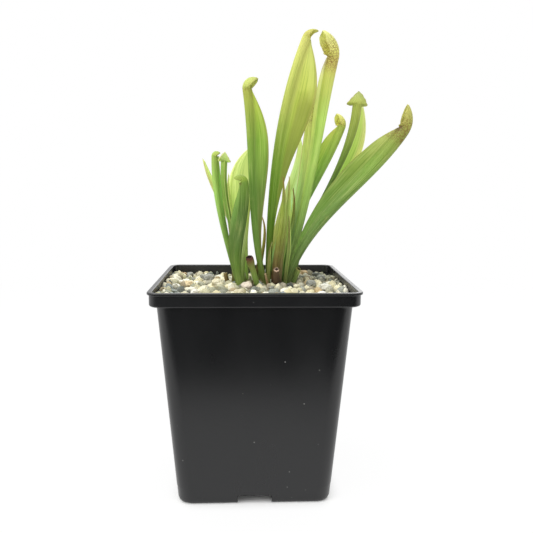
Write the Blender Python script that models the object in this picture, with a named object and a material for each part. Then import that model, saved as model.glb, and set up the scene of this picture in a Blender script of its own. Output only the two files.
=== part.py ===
"""A pitcher plant in a square nursery pot, with gravel over its potting mix.

Everything is laid out around the pot's centre line, with the pot's foot at z = 0, and then
moved as one under an empty so that the origin is under the middle of the whole plant.
The back of the pot is +Y and up is +Z.
"""
import math

import bmesh
import bpy
from mathutils import Vector, noise

MM = 0.001
GAP = 0.3 * MM                  # clearance where two pieces touch

# Pot: a square tapered pot, 10 x 10 x 11 cm
RIM_HALF = 50.0 * MM            # half the width over the rim's bead
BAND_HALF = 49.2 * MM           # half the width of the band under the bead
BODY_TOP_HALF = 46.4 * MM       # half the width of the body where it meets the band
BODY_FOOT_HALF = 38.5 * MM      # half the width of the body at the top of the foot's rounding
POT_HEIGHT = 108.2 * MM
BAND_BOTTOM = 101.2 * MM
BEAD_BOTTOM = 107.0 * MM
FOOT_ROUNDING = 2.6 * MM
BODY_CORNER = 7.8 * MM
RIM_CORNER = 6.0 * MM
WALL = 1.2 * MM
PLATE_UNDERSIDE = 5.2 * MM      # the base plate stands this high inside the foot ring
PLATE_THICKNESS = 1.4 * MM
NOTCH_WIDTH = 17.0 * MM         # one drainage notch in the middle of each side
NOTCH_HEIGHT = 4.5 * MM
DRAIN_RADIUS = 3.5 * MM
DRAIN_SPACING = 23.0 * MM
CORNER_STEPS = 5

# Fill
FILL_GAP = 0.4 * MM
SOIL_TOP = 96.4 * MM
GRAVEL_TOP = 101.9 * MM
GRAVEL_LUMPS = 0.5 * MM

# Rhizome: a lying, blunt, rounded body; SQUARENESS 2 would be an ellipsoid
RHIZOME_CENTRE = Vector((5.5, 7.0, 93.6)) * MM
RHIZOME_HALF = Vector((26.0, 12.5, 7.0)) * MM
SQUARENESS = 2.6

# Leaves
LAMINA = 0.5 * MM               # thickness of a pitcher's wall and of its wing
ARC_STEPS = 6                   # faces round the back of a tube
BLUNT = (0.35, 3.0, 0.3)        # where a hood is widest, and how it rounds off to its tip
ROUND = (0.4, 2.0, 0.5)
BEAK = (0.35, 1.5, 0.75)
HAT = (0.12, 1.05, 1.0)


def clear_scene():
    for old in list(bpy.data.objects):
        bpy.data.objects.remove(old, do_unlink=True)


def finish(name, colour, roughness=0.6, metallic=0.0):
    """Principled material of one plain colour."""
    made = bpy.data.materials.new(name)
    made.use_nodes = True
    shader = made.node_tree.nodes["Principled BSDF"]
    shader.inputs["Base Color"].default_value = (*colour, 1.0)
    shader.inputs["Roughness"].default_value = roughness
    shader.inputs["Metallic"].default_value = metallic
    return made


def add_piece(name, bm, material, sharp_angle=40.0):
    """Turn a bmesh into a named, smooth shaded object that rides on the plant's empty."""
    bmesh.ops.recalc_face_normals(bm, faces=bm.faces)
    if bm.calc_volume(signed=True) < 0:
        bmesh.ops.reverse_faces(bm, faces=bm.faces)
    mesh = bpy.data.meshes.new(name)
    bm.to_mesh(mesh)
    bm.free()
    mesh.shade_smooth()
    mesh.set_sharp_from_angle(angle=math.radians(sharp_angle))
    mesh.materials.append(material)
    piece = bpy.data.objects.new(name, mesh)
    bpy.context.scene.collection.objects.link(piece)
    piece.parent = ORIGIN
    return piece


def subtract(piece, name, bm):
    """Cut a closed bmesh out of a piece, and keep the cutter as a hidden wire guide."""
    bmesh.ops.recalc_face_normals(bm, faces=bm.faces)
    if bm.calc_volume(signed=True) < 0:
        bmesh.ops.reverse_faces(bm, faces=bm.faces)
    mesh = bpy.data.meshes.new(name)
    bm.to_mesh(mesh)
    bm.free()
    cutter = bpy.data.objects.new(name, mesh)
    bpy.context.scene.collection.objects.link(cutter)
    cutter.parent = ORIGIN
    cutter.hide_render = True
    cutter.display_type = "WIRE"
    cut = piece.modifiers.new(name, "BOOLEAN")
    cut.operation = "DIFFERENCE"
    cut.solver = "EXACT"
    cut.object = cutter


def loft(bm, rings, closed_chain=False, caps=True):
    """Skin a chain of equal closed rings with quads, and cap both ends with one face."""
    made = [[bm.verts.new(point) for point in ring] for ring in rings]
    count = len(made[0])
    pairs = list(zip(made, made[1:]))
    if closed_chain:
        pairs.append((made[-1], made[0]))
    for low, high in pairs:
        for k in range(count):
            j = (k + 1) % count
            bm.faces.new((low[k], low[j], high[j], high[k]))
    if caps and not closed_chain:
        bm.faces.new(made[0][::-1])
        bm.faces.new(made[-1])
    return made


def fan(bm, ring, point):
    """Close a ring of vertices with triangles to one point."""
    middle = bm.verts.new(point)
    for k, vert in enumerate(ring):
        bm.faces.new((vert, ring[(k + 1) % len(ring)], middle))


# ---------------------------------------------------------------- pot

def rounded_square(half, corner, z, steps=CORNER_STEPS, side_steps=1):
    """Points of a square with round corners, anticlockwise from above."""
    points = []
    flat = (half - corner) * 2
    for quarter in range(4):
        heading = quarter * math.pi / 2 + math.pi / 4
        centre = Vector((math.cos(heading), math.sin(heading), 0)) * (half - corner) * math.sqrt(2)
        for k in range(steps + 1):
            angle = quarter * math.pi / 2 + k / steps * math.pi / 2
            points.append(centre + Vector((math.cos(angle) * corner, math.sin(angle) * corner, z)))
        ahead = Vector((-math.cos(quarter * math.pi / 2), -math.sin(quarter * math.pi / 2), 0))
        last = points[-1]
        for k in range(1, side_steps):
            points.append(last + ahead * flat * k / side_steps)
    return points


def body_half(z):
    """Half the outside width of the tapered body at a height."""
    share = (z - FOOT_ROUNDING) / (BAND_BOTTOM - FOOT_ROUNDING)
    return BODY_FOOT_HALF + (BODY_TOP_HALF - BODY_FOOT_HALF) * share


def inner_half(z):
    return body_half(z) - WALL


def pot_profile():
    """(half width, corner radius, height) from the underside, over the rim, to the floor."""
    plate_top = PLATE_UNDERSIDE + PLATE_THICKNESS
    skirt = body_half(PLATE_UNDERSIDE) - 1.7 * MM
    inner_corner = BODY_CORNER - WALL
    fillet = 1.2 * MM
    collar = RIM_HALF - 2.3 * MM
    return [
        (skirt, BODY_CORNER - 1.7 * MM, PLATE_UNDERSIDE),
        (skirt - 0.4 * MM, BODY_CORNER - 2.1 * MM, 0.0),
        (BODY_FOOT_HALF - 1.6 * MM, BODY_CORNER - 1.4 * MM, 0.0),
        (BODY_FOOT_HALF - 0.6 * MM, BODY_CORNER - 0.5 * MM, 0.8 * MM),
        (BODY_FOOT_HALF, BODY_CORNER, FOOT_ROUNDING),
        (BODY_TOP_HALF, BODY_CORNER, BAND_BOTTOM),
        (BAND_HALF - 0.7 * MM, RIM_CORNER, BAND_BOTTOM + 0.3 * MM),
        (BAND_HALF, RIM_CORNER, BAND_BOTTOM + 1.2 * MM),
        (BAND_HALF, RIM_CORNER, BEAD_BOTTOM - 0.3 * MM),
        (RIM_HALF, RIM_CORNER, BEAD_BOTTOM),
        (RIM_HALF, RIM_CORNER, POT_HEIGHT - 0.3 * MM),
        (RIM_HALF - 0.4 * MM, RIM_CORNER - 0.4 * MM, POT_HEIGHT),
        (collar + 0.5 * MM, RIM_CORNER - 1.8 * MM, POT_HEIGHT),
        (collar, RIM_CORNER - 2.1 * MM, POT_HEIGHT - 0.5 * MM),
        (collar - 0.2 * MM, RIM_CORNER - 2.1 * MM, BAND_BOTTOM + 1.9 * MM),
        (inner_half(BAND_BOTTOM + 1.4 * MM), inner_corner, BAND_BOTTOM + 1.4 * MM),
        (inner_half(plate_top + fillet), inner_corner, plate_top + fillet),
        (inner_half(plate_top) - fillet, inner_corner - fillet, plate_top),
    ]


def notch_cutter(along_x):
    """A bar under the base plate that opens the foot ring at two opposite sides."""
    bm = bmesh.new()
    round_over = 1.0 * MM
    half = NOTCH_WIDTH / 2
    outline = [
        (-half, -1.0 * MM),
        (half, -1.0 * MM),
        (half, NOTCH_HEIGHT - round_over),
        (half - round_over, NOTCH_HEIGHT),
        (-half + round_over, NOTCH_HEIGHT),
        (-half, NOTCH_HEIGHT - round_over),
    ]
    reach = RIM_HALF
    ends = []
    for end in (-reach, reach):
        if along_x:
            ends.append([Vector((end, across, z)) for across, z in outline])
        else:
            ends.append([Vector((across, end, z)) for across, z in outline])
    loft(bm, ends)
    return bm


def drain_cutter(x, y):
    bm = bmesh.new()
    rings = []
    for z in (PLATE_UNDERSIDE - 1.0 * MM, PLATE_UNDERSIDE + PLATE_THICKNESS + 1.0 * MM):
        angles = [k * math.tau / 12 for k in range(12)]
        rings.append([
            Vector((x + DRAIN_RADIUS * math.cos(a), y + DRAIN_RADIUS * math.sin(a), z))
            for a in angles
        ])
    loft(bm, rings)
    return bm


def make_pot():
    black = finish("black_plastic", (0.025, 0.026, 0.028), 0.35)
    bm = bmesh.new()
    loft(bm, [rounded_square(*level) for level in pot_profile()])
    pot = add_piece("pot", bm, black)
    subtract(pot, "notches_side_cutter", notch_cutter(True))
    subtract(pot, "notches_front_cutter", notch_cutter(False))
    for column in (-1, 0, 1):
        for row in (-1, 0, 1):
            name = f"drain_cutter_{column + 1}{row + 1}"
            subtract(pot, name, drain_cutter(column * DRAIN_SPACING, row * DRAIN_SPACING))


# ---------------------------------------------------------------- rhizome and fill

def signed_power(value, power):
    return math.copysign(abs(value) ** power, value)


def rhizome_ring(latitude, swell=0.0, around=20):
    """One level ring of the rhizome's rounded body, made larger all round by swell."""
    half = RHIZOME_HALF + Vector((swell, swell, swell))
    power = 2 / SQUARENESS
    flat = signed_power(math.cos(latitude), power)
    height = signed_power(math.sin(latitude), power)
    ring = []
    for k in range(around):
        turn = k * math.tau / around
        offset = Vector((
            half.x * flat * signed_power(math.cos(turn), power),
            half.y * flat * signed_power(math.sin(turn), power),
            half.z * height,
        ))
        ring.append(RHIZOME_CENTRE + offset)
    return ring


def rhizome_top(x, y):
    """Height of the rhizome's upper surface over a point."""
    across = abs((x - RHIZOME_CENTRE.x) / RHIZOME_HALF.x) ** SQUARENESS
    deep = abs((y - RHIZOME_CENTRE.y) / RHIZOME_HALF.y) ** SQUARENESS
    left = max(0.0, 1.0 - across - deep)
    return RHIZOME_CENTRE.z + RHIZOME_HALF.z * left ** (1 / SQUARENESS)


def make_rhizome():
    brown = finish("rhizome_brown", (0.16, 0.09, 0.05), 0.85)
    bm = bmesh.new()
    steps = 10
    rings = []
    for k in range(1, steps):
        rings.append(rhizome_ring(-math.pi / 2 + math.pi * k / steps))
    made = loft(bm, rings, caps=False)
    fan(bm, made[0], RHIZOME_CENTRE - Vector((0, 0, RHIZOME_HALF.z)))
    fan(bm, made[-1], RHIZOME_CENTRE + Vector((0, 0, RHIZOME_HALF.z)))
    add_piece("rhizome", bm, brown)


def rhizome_seat():
    """The rhizome's lower half with clearance, carried straight up out of the fill."""
    bm = bmesh.new()
    swell = 0.4 * MM
    steps = 5
    rings = []
    for k in range(1, steps + 1):
        rings.append(rhizome_ring(-math.pi / 2 * (1 - k / steps), swell))
    rings.append([Vector((point.x, point.y, POT_HEIGHT)) for point in rings[-1]])
    made = loft(bm, rings, caps=False)
    fan(bm, made[0], RHIZOME_CENTRE - Vector((0, 0, RHIZOME_HALF.z + swell)))
    bm.faces.new(made[-1])
    return bm


def make_soil():
    peat = finish("potting_mix", (0.05, 0.035, 0.025), 0.95)
    floor = PLATE_UNDERSIDE + PLATE_THICKNESS + GAP
    fillet = 1.4 * MM
    corner = BODY_CORNER - WALL - FILL_GAP
    bm = bmesh.new()
    loft(bm, [
        rounded_square(inner_half(floor) - fillet - FILL_GAP, corner - fillet, floor),
        rounded_square(inner_half(floor + fillet) - FILL_GAP, corner, floor + fillet),
        rounded_square(inner_half(SOIL_TOP) - FILL_GAP, corner, SOIL_TOP),
    ])
    soil = add_piece("potting_mix", bm, peat)
    subtract(soil, "rhizome_seat_cutter", rhizome_seat())


def gravel_height(x, y):
    """Height of the gravel bed's lumpy top."""
    lumps = noise.noise(Vector((x, y, 0)) / (12 * MM)) * GRAVEL_LUMPS
    return GRAVEL_TOP + lumps


def make_gravel_bed():
    """A slab of small gravel with an oval opening round the crown."""
    grit = finish("gravel", (0.5, 0.49, 0.45), 0.9)
    low = SOIL_TOP + GAP
    corner = BODY_CORNER - WALL - FILL_GAP
    outer_low = rounded_square(inner_half(low) - FILL_GAP, corner, 0, 3, 8)
    outer_high = rounded_square(inner_half(GRAVEL_TOP) - FILL_GAP, corner, 0, 3, 8)
    clear = Vector((1.4, 1.4, 0)) * MM
    crown = []
    for point in outer_high:
        away = point - RHIZOME_CENTRE
        half = RHIZOME_HALF + clear
        reach = abs(away.x / half.x) ** SQUARENESS + abs(away.y / half.y) ** SQUARENESS
        crown.append(RHIZOME_CENTRE + away * reach ** (-1 / SQUARENESS))
    steps = 6
    rings = [[Vector((p.x, p.y, low)) for p in crown]]
    for k in range(steps + 1):
        ring = []
        for inside, outside in zip(crown, outer_high):
            point = inside.lerp(outside, k / steps)
            ring.append(Vector((point.x, point.y, gravel_height(point.x, point.y))))
        rings.append(ring)
    rings.append([Vector((p.x, p.y, low)) for p in outer_low])
    bm = bmesh.new()
    loft(bm, rings, closed_chain=True)
    add_piece("gravel_bed", bm, grit)


# ---------------------------------------------------------------- loose stones

# (name, x, y, width) in mm; each lies on the gravel bed
STONES = (
    ("amber", -35, 1, 6.5),
    ("cream_large", -19, -2, 9),
    ("pink", -4, -9.5, 8.5),
    ("white_left", -41, -6, 5.6),
    ("cream_rear_left", -42, 17, 4.6),
    ("tan_rear_left", -41, 39, 4.4),
    ("white_edge", -40, 8, 5.4),
    ("grey_rear_left", -37, 34, 5.8),
    ("grey_rear", -29, 32, 4.8),
    ("grey_left", -25, 21, 8),
    ("buff_left", -27, 5, 4.6),
    ("buff_right", 23, -8, 5.8),
    ("tan_rear_right", 31, 39, 7),
    ("dark_right", 38, 30, 6.4),
    ("grey_edge", 39.5, 20.5, 7),
    ("grey_right", 31, 0, 7.4),
    ("pale_right", 37, -12, 8),
    ("cream_front", 16, -16, 5),
    ("grey_front", 9, -10, 4.8),
    ("chalk_front", -30, -21, 6),
    ("buff_front", -8, -27, 6.6),
    ("slate_front", 14, -29, 5.4),
    ("white_front", 33, -30, 6.2),
    ("tan_front", -14, -39, 5),
)


def make_stone(name, x, y, width, seed):
    colour = finish("stone_" + name, (0.62, 0.58, 0.5), 0.8)
    bm = bmesh.new()
    bmesh.ops.create_icosphere(bm, subdivisions=1, radius=0.5)
    turn = seed * 2.4
    squash = Vector((1.0, 0.78, 0.56)) * width * MM
    for vert in bm.verts:
        bump = 1.0 + 0.16 * noise.noise(vert.co * 2.2 + Vector((seed, 0, 0)))
        local = Vector((vert.co.x * squash.x, vert.co.y * squash.y, vert.co.z * squash.z)) * bump
        vert.co = Vector((
            x * MM + local.x * math.cos(turn) - local.y * math.sin(turn),
            y * MM + local.x * math.sin(turn) + local.y * math.cos(turn),
            local.z,
        ))
    lift = max(gravel_height(v.co.x, v.co.y) - v.co.z for v in bm.verts)
    for vert in bm.verts:
        vert.co.z += lift + 0.4 * MM
    add_piece("stone_" + name, bm, colour)


# ---------------------------------------------------------------- leaves

def smooth(low, high, value):
    share = min(1.0, max(0.0, (value - low) / (high - low)))
    return share * share * (3 - 2 * share)


def curve_through(points):
    """A cubic through four points, spaced by the distance between them."""
    knots = [0.0]
    for first, second in zip(points, points[1:]):
        knots.append(knots[-1] + (second - first).length)
    knots = [knot / knots[-1] for knot in knots]

    def at(t):
        total = Vector()
        for i, point in enumerate(points):
            weight = 1.0
            for j, knot in enumerate(knots):
                if j != i:
                    weight *= (t - knot) / (knots[i] - knot)
            total += point * weight
        return total

    return at


def leaf_line(foot, *others):
    """The back of a leaf, from its seat on the rhizome through three more points."""
    x, y = (value * MM for value in foot)
    start = Vector((x, y, rhizome_top(x, y) + GAP))
    return curve_through([start] + [Vector(point) * MM for point in others])


def leaf_frame(line, t, facing):
    """Point, direction, front direction and side direction of a leaf's back at t."""
    step = 0.01
    along = (line(min(1.0, t + step)) - line(max(0.0, t - step))).normalized()
    angle = math.radians(facing[0] + (facing[1] - facing[0]) * t)
    front = Vector((math.cos(angle), math.sin(angle), 0))
    front = (front - along * front.dot(along)).normalized()
    return line(t), along, front, along.cross(front)


def wing_width(wing, t):
    """Width of the keel on a leaf's front: (greatest width, where, how fast it rises)."""
    widest, peak, rise = wing
    fall = rise * (1 - peak) / peak
    return widest * MM * (t / peak) ** rise * ((1 - t) / (1 - peak)) ** fall


def tube_radius(radii, t):
    """Radius between the foot, the middle and the top of a leaf."""
    foot, middle, top = radii
    if t < 0.5:
        return (foot + (middle - foot) * smooth(0, 0.5, t)) * MM
    return (middle + (top - middle) * smooth(0.5, 1, t)) * MM


def tube_ring(frame, radius, wing, curl, lamina=LAMINA):
    """Closed ring of a tube with a flat keel in front; its last two points are the keel's edge."""
    point, _, front, side = frame
    half = min(lamina / 2, radius * 0.6)
    reach = math.pi - math.asin(half / radius)
    ring = []
    for k in range(ARC_STEPS + 1):
        angle = -reach + 2 * reach * k / ARC_STEPS
        ring.append(point + front * radius * (1 - math.cos(angle)) + side * radius * math.sin(angle))
    edge = front * math.cos(curl) + side * math.sin(curl)
    over = side * math.cos(curl) - front * math.sin(curl)
    tip = point + front * 2 * radius + edge * max(wing, 0.25 * MM)
    ring.append(tip + over * half * 0.8)
    ring.append(tip - over * half * 0.8)
    return ring


def hollow_ring(frame, radius):
    """Closed ring of a pitcher's inside, one wall in from tube_ring and point for point with it."""
    point, _, front, side = frame
    inside = radius - LAMINA
    half = min(LAMINA / 2, inside * 0.6)
    reach = math.pi - math.asin(half / inside)
    ring = []
    for k in range(ARC_STEPS + 1):
        angle = -reach + 2 * reach * k / ARC_STEPS
        across = side * inside * math.sin(angle)
        ring.append(point + front * (radius - inside * math.cos(angle)) + across)
    for sign in (1, -1):
        ring.append(point + front * (radius + inside) + side * half * 0.5 * sign)
    return ring


def hood_arcs(frame, radius, hood, steps):
    """Outer and inner arcs of a hood that rises from a mouth's back and nods over it.

    A hood is (length, half its width along the skin, nod in degrees, half angle it folds round,
    outline).
    """
    point, along, front, side = frame
    length, half_width, nod = hood[0] * MM, hood[1] * MM, math.radians(hood[2])
    open_radius = half_width / hood[3]
    widest, power, blunt = hood[4]
    start = radius * (math.pi - math.asin(LAMINA / 2 / radius))
    outer, inner = [], []
    fine = 8
    place = point.copy()
    for k in range(1, steps * fine + 1):
        share = k / (steps * fine)
        angle = nod * share
        heading = along * math.cos(angle) + front * math.sin(angle)
        place += heading * length / (steps * fine)
        if k % fine:
            continue
        inward = front * math.cos(angle) - along * math.sin(angle)
        opened = smooth(0, widest, share)
        bend = radius + (open_radius - radius) * opened
        width = start + (half_width - start) * opened
        if share > widest:
            width *= max(0.0, 1 - ((share - widest) / (1 - widest)) ** power) ** blunt
        if k == steps * fine:
            return outer, inner, place.copy(), place + inward * LAMINA
        arcs = ([], [])
        for j in range(ARC_STEPS + 1):
            turn = (2 * j / ARC_STEPS - 1) * width / bend
            for arc, size in zip(arcs, (bend, bend - LAMINA)):
                arc.append(place + inward * (bend - size * math.cos(turn)) + side * size * math.sin(turn))
        outer.append(arcs[0])
        inner.append(arcs[1])


def seat_ring(ring):
    """Drop a leaf's lowest ring on to the rhizome."""
    return [Vector((p.x, p.y, rhizome_top(p.x, p.y) + GAP)) for p in ring]


def middle_of(points):
    return sum(points, Vector()) / len(points)


def make_pitcher(name, material, line, facing, radii, wing, hood, curl=0.0, along=9, hollow_from=4):
    """A hollow leaf: a tube with a keel in front, an open mouth and a hood over it."""
    bm = bmesh.new()
    outer, hollow = [], []
    for k in range(along + 1):
        t = k / along
        frame = leaf_frame(line, t, facing)
        radius = tube_radius(radii, t)
        bend = math.radians(curl) * smooth(0.2, 0.8, t)
        ring = tube_ring(frame, radius, wing_width(wing, t), bend)
        outer.append(seat_ring(ring) if k == 0 else ring)
        if k >= hollow_from:
            hollow.append(hollow_ring(frame, radius))
    outer_verts = loft(bm, outer, caps=False)
    inner_verts = loft(bm, hollow, caps=False)
    seat = middle_of(outer[0])
    fan(bm, outer_verts[0], seat_ring([seat])[0])
    fan(bm, inner_verts[0], middle_of(hollow[0]))
    hood_outer, hood_inner, apex, apex_inner = hood_arcs(frame, radius, hood, 4)
    edges = []
    for mouth, arcs, end in ((outer_verts[-1], hood_outer, apex), (inner_verts[-1], hood_inner, apex_inner)):
        arc_rows = [mouth[:ARC_STEPS + 1]]
        arc_rows += [[bm.verts.new(point) for point in arc] for arc in arcs]
        for low, high in zip(arc_rows, arc_rows[1:]):
            for k in range(ARC_STEPS):
                bm.faces.new((low[k], low[k + 1], high[k + 1], high[k]))
        top = bm.verts.new(end)
        for k in range(ARC_STEPS):
            bm.faces.new((arc_rows[-1][k], arc_rows[-1][k + 1], top))
        rim = [row[0] for row in arc_rows[::-1]] + [mouth[-1], mouth[-2]]
        rim += [row[-1] for row in arc_rows] + [top]
        edges.append(rim)
    for k, first in enumerate(edges[0]):
        j = (k + 1) % len(edges[0])
        bm.faces.new((first, edges[0][j], edges[1][j], edges[1][k]))
    add_piece(name, bm, material)


def make_closed_leaf(name, material, line, facing, radii, wing, curl=0.0, along=8):
    """A leaf with no open mouth, which narrows to a point."""
    bm = bmesh.new()
    rings = []
    for k in range(along):
        t = k / along
        taper = math.sqrt(1 - smooth(0.55, 1.0, t) * 0.9)
        frame = leaf_frame(line, t, facing)
        radius = tube_radius(radii, t) * taper
        bend = math.radians(curl) * smooth(0.2, 0.8, t)
        ring = tube_ring(frame, radius, wing_width(wing, t), bend)
        rings.append(seat_ring(ring) if k == 0 else ring)
    made = loft(bm, rings, caps=False)
    fan(bm, made[0], seat_ring([middle_of(rings[0])])[0])
    fan(bm, made[-1], line(1.0))
    add_piece(name, bm, material)


def make_stub(name, material, foot, top, foot_radius, top_radius, pit=0.0, around=8):
    """What is left of a cut leaf, with a pit where its tube was hollow."""
    low = Vector((foot[0], foot[1], 0)) * MM
    low.z = rhizome_top(low.x, low.y) + GAP
    high = Vector(top) * MM
    axis = (high - low).normalized()
    side = axis.cross(Vector((0, 1, 0))).normalized()
    front = side.cross(axis)

    def circle(centre, radius):
        turns = [k * math.tau / around for k in range(around)]
        return [centre + (side * math.cos(a) + front * math.sin(a)) * radius * MM for a in turns]

    swell = (foot_radius + top_radius) * 0.55
    rings = [seat_ring(circle(low, foot_radius)), circle(low.lerp(high, 0.55), swell), circle(high, top_radius)]
    if pit:
        rings.append(circle(high, top_radius * 0.6))
        rings.append(circle(high - axis * pit * MM, top_radius * 0.5))
    bm = bmesh.new()
    made = loft(bm, rings, caps=False)
    fan(bm, made[0], seat_ring([low])[0])
    fan(bm, made[-1], middle_of(rings[-1]))
    add_piece(name, bm, material)


def make_leaves():
    """Each leaf: its foot, three points up its back, and its shape in mm and degrees."""
    green = finish("leaf_green", (0.22, 0.42, 0.08), 0.5)
    lime = finish("leaf_lime", (0.45, 0.58, 0.14), 0.5)
    pale = finish("leaf_pale", (0.62, 0.72, 0.3), 0.5)
    dark = finish("leaf_dark", (0.12, 0.25, 0.06), 0.5)
    red = finish("leaf_red", (0.32, 0.16, 0.07), 0.55)
    straw = finish("leaf_straw", (0.45, 0.33, 0.18), 0.8)

    make_pitcher(
        "pitcher_tall_left", green,
        leaf_line((5.5, 3), (-1, 1, 134.5), (-3.5, -2, 176), (-6, -3, 205)),
        facing=(-5, -15), radii=(1.5, 1.6, 2.3), wing=(7.4, 0.7, 3.0),
        hood=(12.3, 6.2, 128, 1.9, BLUNT), curl=10)
    make_pitcher(
        "pitcher_tallest", lime,
        leaf_line((6.6, 8), (7.2, 6, 135), (11.5, 5, 182.5), (25, 5, 233.5)),
        facing=(10, -8), radii=(1.5, 2.1, 2.3), wing=(12.3, 0.77, 4.0), hood=(10.2, 5.2, 102, 1.5, BEAK),
        curl=8)
    make_pitcher(
        "pitcher_helmet", green,
        leaf_line((17, 11), (28, 12, 136), (38.5, 14, 187), (45.5, 14, 224)),
        facing=(185, 192), radii=(1.6, 1.9, 3.2), wing=(2.8, 0.78, 2.6), hood=(19.2, 9.6, 88, 1.9, BLUNT))
    make_pitcher(
        "pitcher_leaning_right", dark,
        leaf_line((19, 4), (37, 5, 134), (63, 6, 161), (83, 7, 184.5)),
        facing=(170, 178), radii=(1.5, 2.5, 3.2), wing=(8.4, 0.68, 2.0), hood=(17.2, 8.0, 70, 2.0, ROUND),
        curl=-8)
    make_pitcher(
        "pitcher_rear_right", lime,
        leaf_line((17, 16.5), (30, 21, 144.5), (43, 22, 169.5), (51.5, 23, 188.5)),
        facing=(180, 190), radii=(1.3, 1.6, 2.2), wing=(5.6, 0.78, 3.5), hood=(11.4, 6.7, 104, 1.6, BLUNT))
    make_pitcher(
        "pitcher_slim_right", dark,
        leaf_line((23, 10), (34, 14, 140), (49, 16, 170), (57.5, 16, 201)),
        facing=(100, 95), radii=(1.2, 1.2, 2.6), wing=(1.0, 0.7, 3.0), hood=(8, 7.0, 35, 1.0, HAT))
    make_pitcher(
        "pitcher_hooked_left", green,
        leaf_line((-9, 6.5), (-18.5, 6, 137.5), (-22, 4, 160), (-22.3, 3, 172)),
        facing=(0, -5), radii=(1.2, 1.3, 1.9), wing=(1.4, 0.7, 3.0), hood=(6.6, 4.0, 140, 1.7, BLUNT),
        hollow_from=5)
    make_pitcher(
        "pitcher_slim_left", green,
        leaf_line((-9.5, 2.8), (-13.6, 1.5, 141), (-16, 0.5, 159.5), (-15.8, 0.5, 169)),
        facing=(-70, -80), radii=(1.2, 1.2, 1.7), wing=(1.0, 0.7, 3.0), hood=(5.4, 4.2, 30, 1.1, HAT),
        hollow_from=5)
    make_pitcher(
        "pitcher_short_front", dark,
        leaf_line((-4, -1.8), (-5.5, -5.5, 128.5), (-3, -7, 145), (-3, -7.5, 158.5)),
        facing=(198, 172), radii=(1.6, 2.1, 2.3), wing=(4.0, 0.62, 2.2),
        hood=(10.2, 4.4, 138, 1.9, BLUNT))
    make_pitcher(
        "pitcher_middle_rear", green,
        leaf_line((13.5, 13.5), (28.5, 16, 145), (33.5, 17, 177.5), (36, 17, 206)),
        facing=(182, 188), radii=(1.3, 1.9, 2.5), wing=(2.6, 0.6, 2.0), hood=(9, 4.2, 105, 1.6, ROUND))

    make_closed_leaf(
        "leaf_pale_right", pale,
        leaf_line((21, 14.8), (47.5, 24, 150), (61, 26, 173), (62, 27, 203)),
        facing=(175, 185), radii=(1.2, 1.3, 1.2), wing=(6.2, 0.74, 2.6))
    make_closed_leaf(
        "leaf_strap_left", pale,
        leaf_line((-10.5, 13), (-20, 17, 149), (-25.5, 18, 161.5), (-28, 18, 171.5)),
        facing=(-20, -20), radii=(1.1, 1.0, 0.9), wing=(2.4, 0.7, 2.0))
    make_closed_leaf(
        "leaf_pale_left", pale,
        leaf_line((-4.5, 13), (-14, 20, 143), (-13, 22, 162), (-3, 22, 177)),
        facing=(-5, -15), radii=(1.3, 1.6, 1.2), wing=(11.5, 0.72, 2.0))
    make_closed_leaf(
        "leaf_pale_middle", pale,
        leaf_line((9.5, 15), (22.5, 22, 141), (28.5, 24, 165), (26, 24, 186)),
        facing=(178, 184), radii=(1.3, 1.6, 1.2), wing=(5.2, 0.6, 1.6))
    make_closed_leaf(
        "leaf_narrow_left", pale,
        leaf_line((-7, 9), (-13.5, 8.5, 137), (-14.5, 8, 151.5), (-13.5, 8, 163.5)),
        facing=(-10, -10), radii=(1.1, 1.0, 0.8), wing=(1.3, 0.6, 2.0))
    make_closed_leaf(
        "leaf_young_left", red,
        leaf_line((-12.3, 9.5), (-12.6, 10.5, 124), (-13.8, 10.5, 135), (-14.8, 10.5, 145)),
        facing=(0, 0), radii=(1.1, 0.9, 0.7), wing=(0.6, 0.6, 2.0))
    make_closed_leaf(
        "leaf_thin_front", pale,
        leaf_line((-6.8, 1.8), (-6.9, 1.8, 116), (-5.8, 1.2, 130), (-4.6, 0.6, 146)),
        facing=(0, 0), radii=(1.1, 1.0, 0.6), wing=(0.6, 0.6, 2.0))
    make_closed_leaf(
        "young_pitcher", red,
        leaf_line((9.5, 0.5), (11.5, -0.5, 125.5), (14, -1.5, 143), (15, -1.5, 162)),
        facing=(0, 0), radii=(1.5, 1.3, 0.8), wing=(1.6, 0.55, 2.0))
    make_closed_leaf(
        "young_pitcher_twin", red,
        leaf_line((12.5, 3), (14.5, 2, 125.5), (17, 1, 143), (18.5, 1, 162)),
        facing=(0, 0), radii=(1.4, 1.2, 0.7), wing=(1.2, 0.55, 2.0))
    make_closed_leaf(
        "young_pitcher_right", red,
        leaf_line((16, 6), (20, 6.5, 122), (22.5, 8, 137.5), (21.5, 8, 156)),
        facing=(180, 180), radii=(1.3, 1.1, 0.8), wing=(0.9, 0.6, 2.0))
    make_closed_leaf(
        "young_pitcher_short", lime,
        leaf_line((15, -0.5), (17, -1, 116.5), (18, -1, 127), (18.5, -1, 141.5)),
        facing=(0, 0), radii=(1.0, 0.8, 0.5), wing=(0.5, 0.6, 2.0))
    make_closed_leaf(
        "sprout_front", lime,
        leaf_line((6.5, -1.5), (7, -2.5, 110), (7.5, -3, 120), (9.5, -3, 127.5)),
        facing=(0, 0), radii=(1.0, 0.7, 0.5), wing=(0.4, 0.6, 2.0), along=5)
    make_closed_leaf(
        "sprout_curved", red,
        leaf_line((5, 12), (7, 12.5, 127), (6.5, 12.5, 135.5), (3.5, 12.5, 142.5)),
        facing=(180, 180), radii=(0.9, 0.7, 0.5), wing=(0.4, 0.6, 2.0))
    make_closed_leaf(
        "sprout_red", red,
        leaf_line((0.5, 9.5), (2, 9.5, 115), (3, 9.5, 125), (2.5, 9.5, 133)),
        facing=(0, 0), radii=(0.9, 0.7, 0.5), wing=(0.4, 0.6, 2.0), along=6)

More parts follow.
